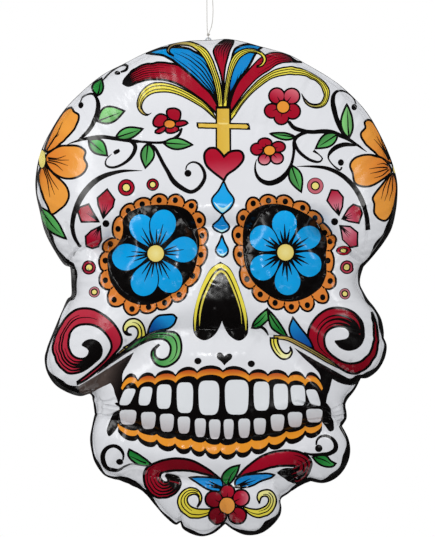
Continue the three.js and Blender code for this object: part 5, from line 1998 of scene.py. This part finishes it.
def plies(line):
    """Two plies twisted round each other along a line."""
    along, frames = passed(line), frames_along(line)
    parts = []
    for phase in (0, np.pi):
        strand = []
        for place, turn, (across, other) in zip(line, 2 * np.pi * along / PLY_PITCH + phase, frames):
            strand.append(place + PLY_OFFSET * (np.cos(turn) * across + np.sin(turn) * other))
        parts.append(sweep(strand, PLY_RADIUS, PLY_SIDES))
    return joined(parts)


def knot_line():
    """The middle line of the thread in the knot."""
    turn = turns(KNOT_POINTS)
    out = KNOT_OUT + KNOT_SWAY * np.cos(KNOT_OVER * turn)
    x, z = out * np.cos(KNOT_ROUND * turn), out * np.sin(KNOT_ROUND * turn)
    return np.stack([x, KNOT_TALL * np.sin(KNOT_OVER * turn), z], -1) + KNOT_MIDDLE


def add_thread():
    """The hanging loop, its bight through the eyelet and its knot."""
    material = thread_material("thread")
    line = smooth(LOOP_ROUTE, step=LOOP_STEP)
    loop = add_piece("hanging_loop", *plies(line), material, "thread", "thread")
    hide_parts("hang_thread")
    short_line = smooth(BIGHT_ROUTE, step=BIGHT_STEP)
    bight = add_piece("eyelet_bight", *plies(short_line), material, "bight", "thread")
    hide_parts("thread_bight")
    wound = sweep(knot_line(), THREAD_WIDE / 2, KNOT_SIDES, True)
    knot = add_piece("loop_knot", *wound, material, "knot", "thread")
    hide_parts("thread_knot")


add_thread()


# The webs and sleeves between the films

WEB_NODES = [
    "forehead_web", "brow_web_left", "brow_web_middle", "brow_web_right", "cheek_web", "mouth_web",
    "chin_web", "eye_sleeve_left", "eye_sleeve_right",
]
# How far short of the edge a web ends
WEB_RIM_GAP = 0.009


def add_web(node, line, closed, material):
    """A strip of film from the front film's inner face to the back film's, along a tie."""
    if not closed:
        line = even(front.flattened(line), False, TIE_STEP)
        line = front.unflattened(line)
        radius, angle = polar(line)
        line = line[radius < round_rim(even_radius, angle) - WEB_RIM_GAP]
    ahead = unit(around(line)) if closed else unit(np.gradient(line, axis=0))
    across = to_left(ahead) * FILM_WALL / 2
    lap = FILM_WALL + TOUCH_GAP
    face_y = front.blown(line)[:, 1] + lap
    back_y = back.blown(line)[:, 1] - lap
    corners = []
    for side, y in ((1, face_y), (-1, face_y), (-1, back_y), (1, back_y)):
        at = line + side * across
        corners.append(np.stack([at[:, 0], y, at[:, 1]], -1))
    verts = np.stack(corners, 1).reshape(-1, 3)
    count, sides = len(line), len(corners)
    faces = []
    for k in range(count if closed else count - 1):
        here, there = sides * k, sides * ((k + 1) % count)
        for c in range(sides):
            after = (c + 1) % sides
            faces.append((here + c, here + after, there + after, there + c))
    if not closed:
        faces += [tuple(range(sides))[::-1], tuple(sides * (count - 1) + c for c in range(sides))]
    web = add_piece(node + "_film", verts, faces, material, "skull", "web_film")
    web.data.polygons.foreach_set("use_smooth", [False] * len(faces))
    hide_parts(node)


web_material = film_material("web_film", base=WEB_WHITE)
for node, (line, *_) in zip(WEB_NODES, tie_lines):
    round_tie = node.startswith("eye")
    add_web(node, line[:-1] if round_tie else line, round_tie, web_material)


# The CAD pieces that stay

def dress(node, material):
    """A CAD piece in its material."""
    for slot in bpy.data.objects[node].material_slots:
        slot.material = material


valve_material = vinyl_material("valve_vinyl", VALVE_WHITE, VALVE_ROUGHNESS)
clear_material = vinyl_material("clear_vinyl", CLEAR_VINYL, CLEAR_ROUGHNESS, CLEARNESS)
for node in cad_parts:
    name = node if isinstance(node, str) else node["name"]
    if name.startswith("valve"):
        dress(name, valve_material)
    elif name == "eyelet_ring":
        dress(name, clear_material)


# The stage

FLOOR_Z = -3.0
FLOOR_HALF = 0.9
FLOOR_GREY, FLOOR_ROUGHNESS = (0.86, 0.86, 0.86, 1), 0.9
# How bright the even light is from below and from above, its tint, and how far to the back, as a share of
# straight back, mirrored rays start and end to turn white
SKY_LOW = 0.5
SKY_HIGH = 0.94
SKY_TINT = (0.97, 0.98, 1, 1)
BEHIND = (0.86, 1.0)
PLAIN_WHITE = (1, 1, 1, 1)
# Soft boxes: azimuth and height in degrees as seen from the skull's middle, azimuth 0 over the camera, then
# distance, width and height, and radiance
LAMPS = [
    ("left_softbox", -47, 18, 2.9, (0.5, 3.0), 4.2),
    ("right_softbox", 60, 10, 2.9, (0.35, 1.2), 4.5),
    ("top_softbox", -36, 55, 2.6, (0.7, 0.3), 5.5),
    ("front_glow", -3, 2.5, 1.6, (0.17, 0.09), 26),
    ("low_glow", 27, -26, 2.6, (0.7, 0.35), 1.7),
    ("back_softbox", 170, 25, 2.6, (1.2, 1.0), 3),
]
LAMPS_TARGET = (float(PICTURE_XZ[0]), 0.0, float(PICTURE_XZ[1]))


def add_floor():
    """A plain grey floor, far below."""
    mesh = bpy.data.meshes.new("floor")
    x, y = PICTURE_XZ[0], FLOOR_HALF
    sides = ((-1, -1), (1, -1), (1, 1), (-1, 1))
    corners = [(x + a * FLOOR_HALF, y + b * FLOOR_HALF, FLOOR_Z) for a, b in sides]
    mesh.from_pydata(corners, [], [(0, 1, 2, 3)])
    floor = link("floor", mesh)
    material, _, _, shader = new_material("floor")
    shader.inputs["Base Color"].default_value = FLOOR_GREY
    shader.inputs["Roughness"].default_value = FLOOR_ROUGHNESS
    mesh.materials.append(material)


def add_lamp(name, azimuth, height, distance, size, radiance):
    """A soft box that faces the skull."""
    turn, rise = np.radians(azimuth), np.radians(height)
    away = Vector((np.sin(turn) * np.cos(rise), -np.cos(turn) * np.cos(rise), np.sin(rise)))
    data = bpy.data.lights.new(name, "AREA")
    data.shape = "RECTANGLE"
    data.size, data.size_y = size
    data.energy = radiance * np.pi * size[0] * size[1]
    lamp = link(name, data)
    lamp.location = Vector(LAMPS_TARGET) + distance * away
    lamp.rotation_euler = (-away).to_track_quat("-Z", "Y").to_euler()


def add_world():
    """Soft even light from all round, and plain white where the camera looks and mirrored to the back."""
    world = bpy.data.worlds.new("studio")
    bpy.context.scene.world = world
    world.use_nodes = True
    nodes, links = world.node_tree.nodes, world.node_tree.links
    nodes.clear()

    def worked(operation, one, other):
        """Two values worked into one."""
        node = nodes.new("ShaderNodeMath")
        node.operation = operation
        links.new(one, node.inputs[0])
        links.new(other, node.inputs[1])
        return node.outputs[0]

    path = nodes.new("ShaderNodeLightPath")
    place = nodes.new("ShaderNodeTexCoord")
    split = nodes.new("ShaderNodeSeparateXYZ")
    links.new(place.outputs["Generated"], split.inputs[0])
    behind = spread(nodes, links, split.outputs["Y"], 0, 1, *BEHIND)
    mirrored = worked("MAXIMUM", path.outputs["Is Glossy Ray"], path.outputs["Is Transmission Ray"])
    white = worked("MAXIMUM", path.outputs["Is Camera Ray"], worked("MULTIPLY", mirrored, behind))
    soft = nodes.new("ShaderNodeBackground")
    soft.inputs["Color"].default_value = SKY_TINT
    sky = spread(nodes, links, split.outputs["Z"], SKY_LOW, SKY_HIGH, -1, 1)
    unmirrored = spread(nodes, links, mirrored, 1, 0, 0, 1)
    links.new(worked("MULTIPLY", sky, unmirrored), soft.inputs["Strength"])
    bright = nodes.new("ShaderNodeBackground")
    bright.inputs["Color"].default_value = PLAIN_WHITE
    bright.inputs["Strength"].default_value = 1
    mixed = nodes.new("ShaderNodeMixShader")
    output = nodes.new("ShaderNodeOutputWorld")
    links.new(white, mixed.inputs[0])
    links.new(soft.outputs[0], mixed.inputs[1])
    links.new(bright.outputs[0], mixed.inputs[2])
    links.new(mixed.outputs[0], output.inputs["Surface"])


add_floor()
for lamp in LAMPS:
    add_lamp(*lamp)
add_world()
bpy.context.scene.view_settings.view_transform = "Standard"

bpy.context.view_layer.update()
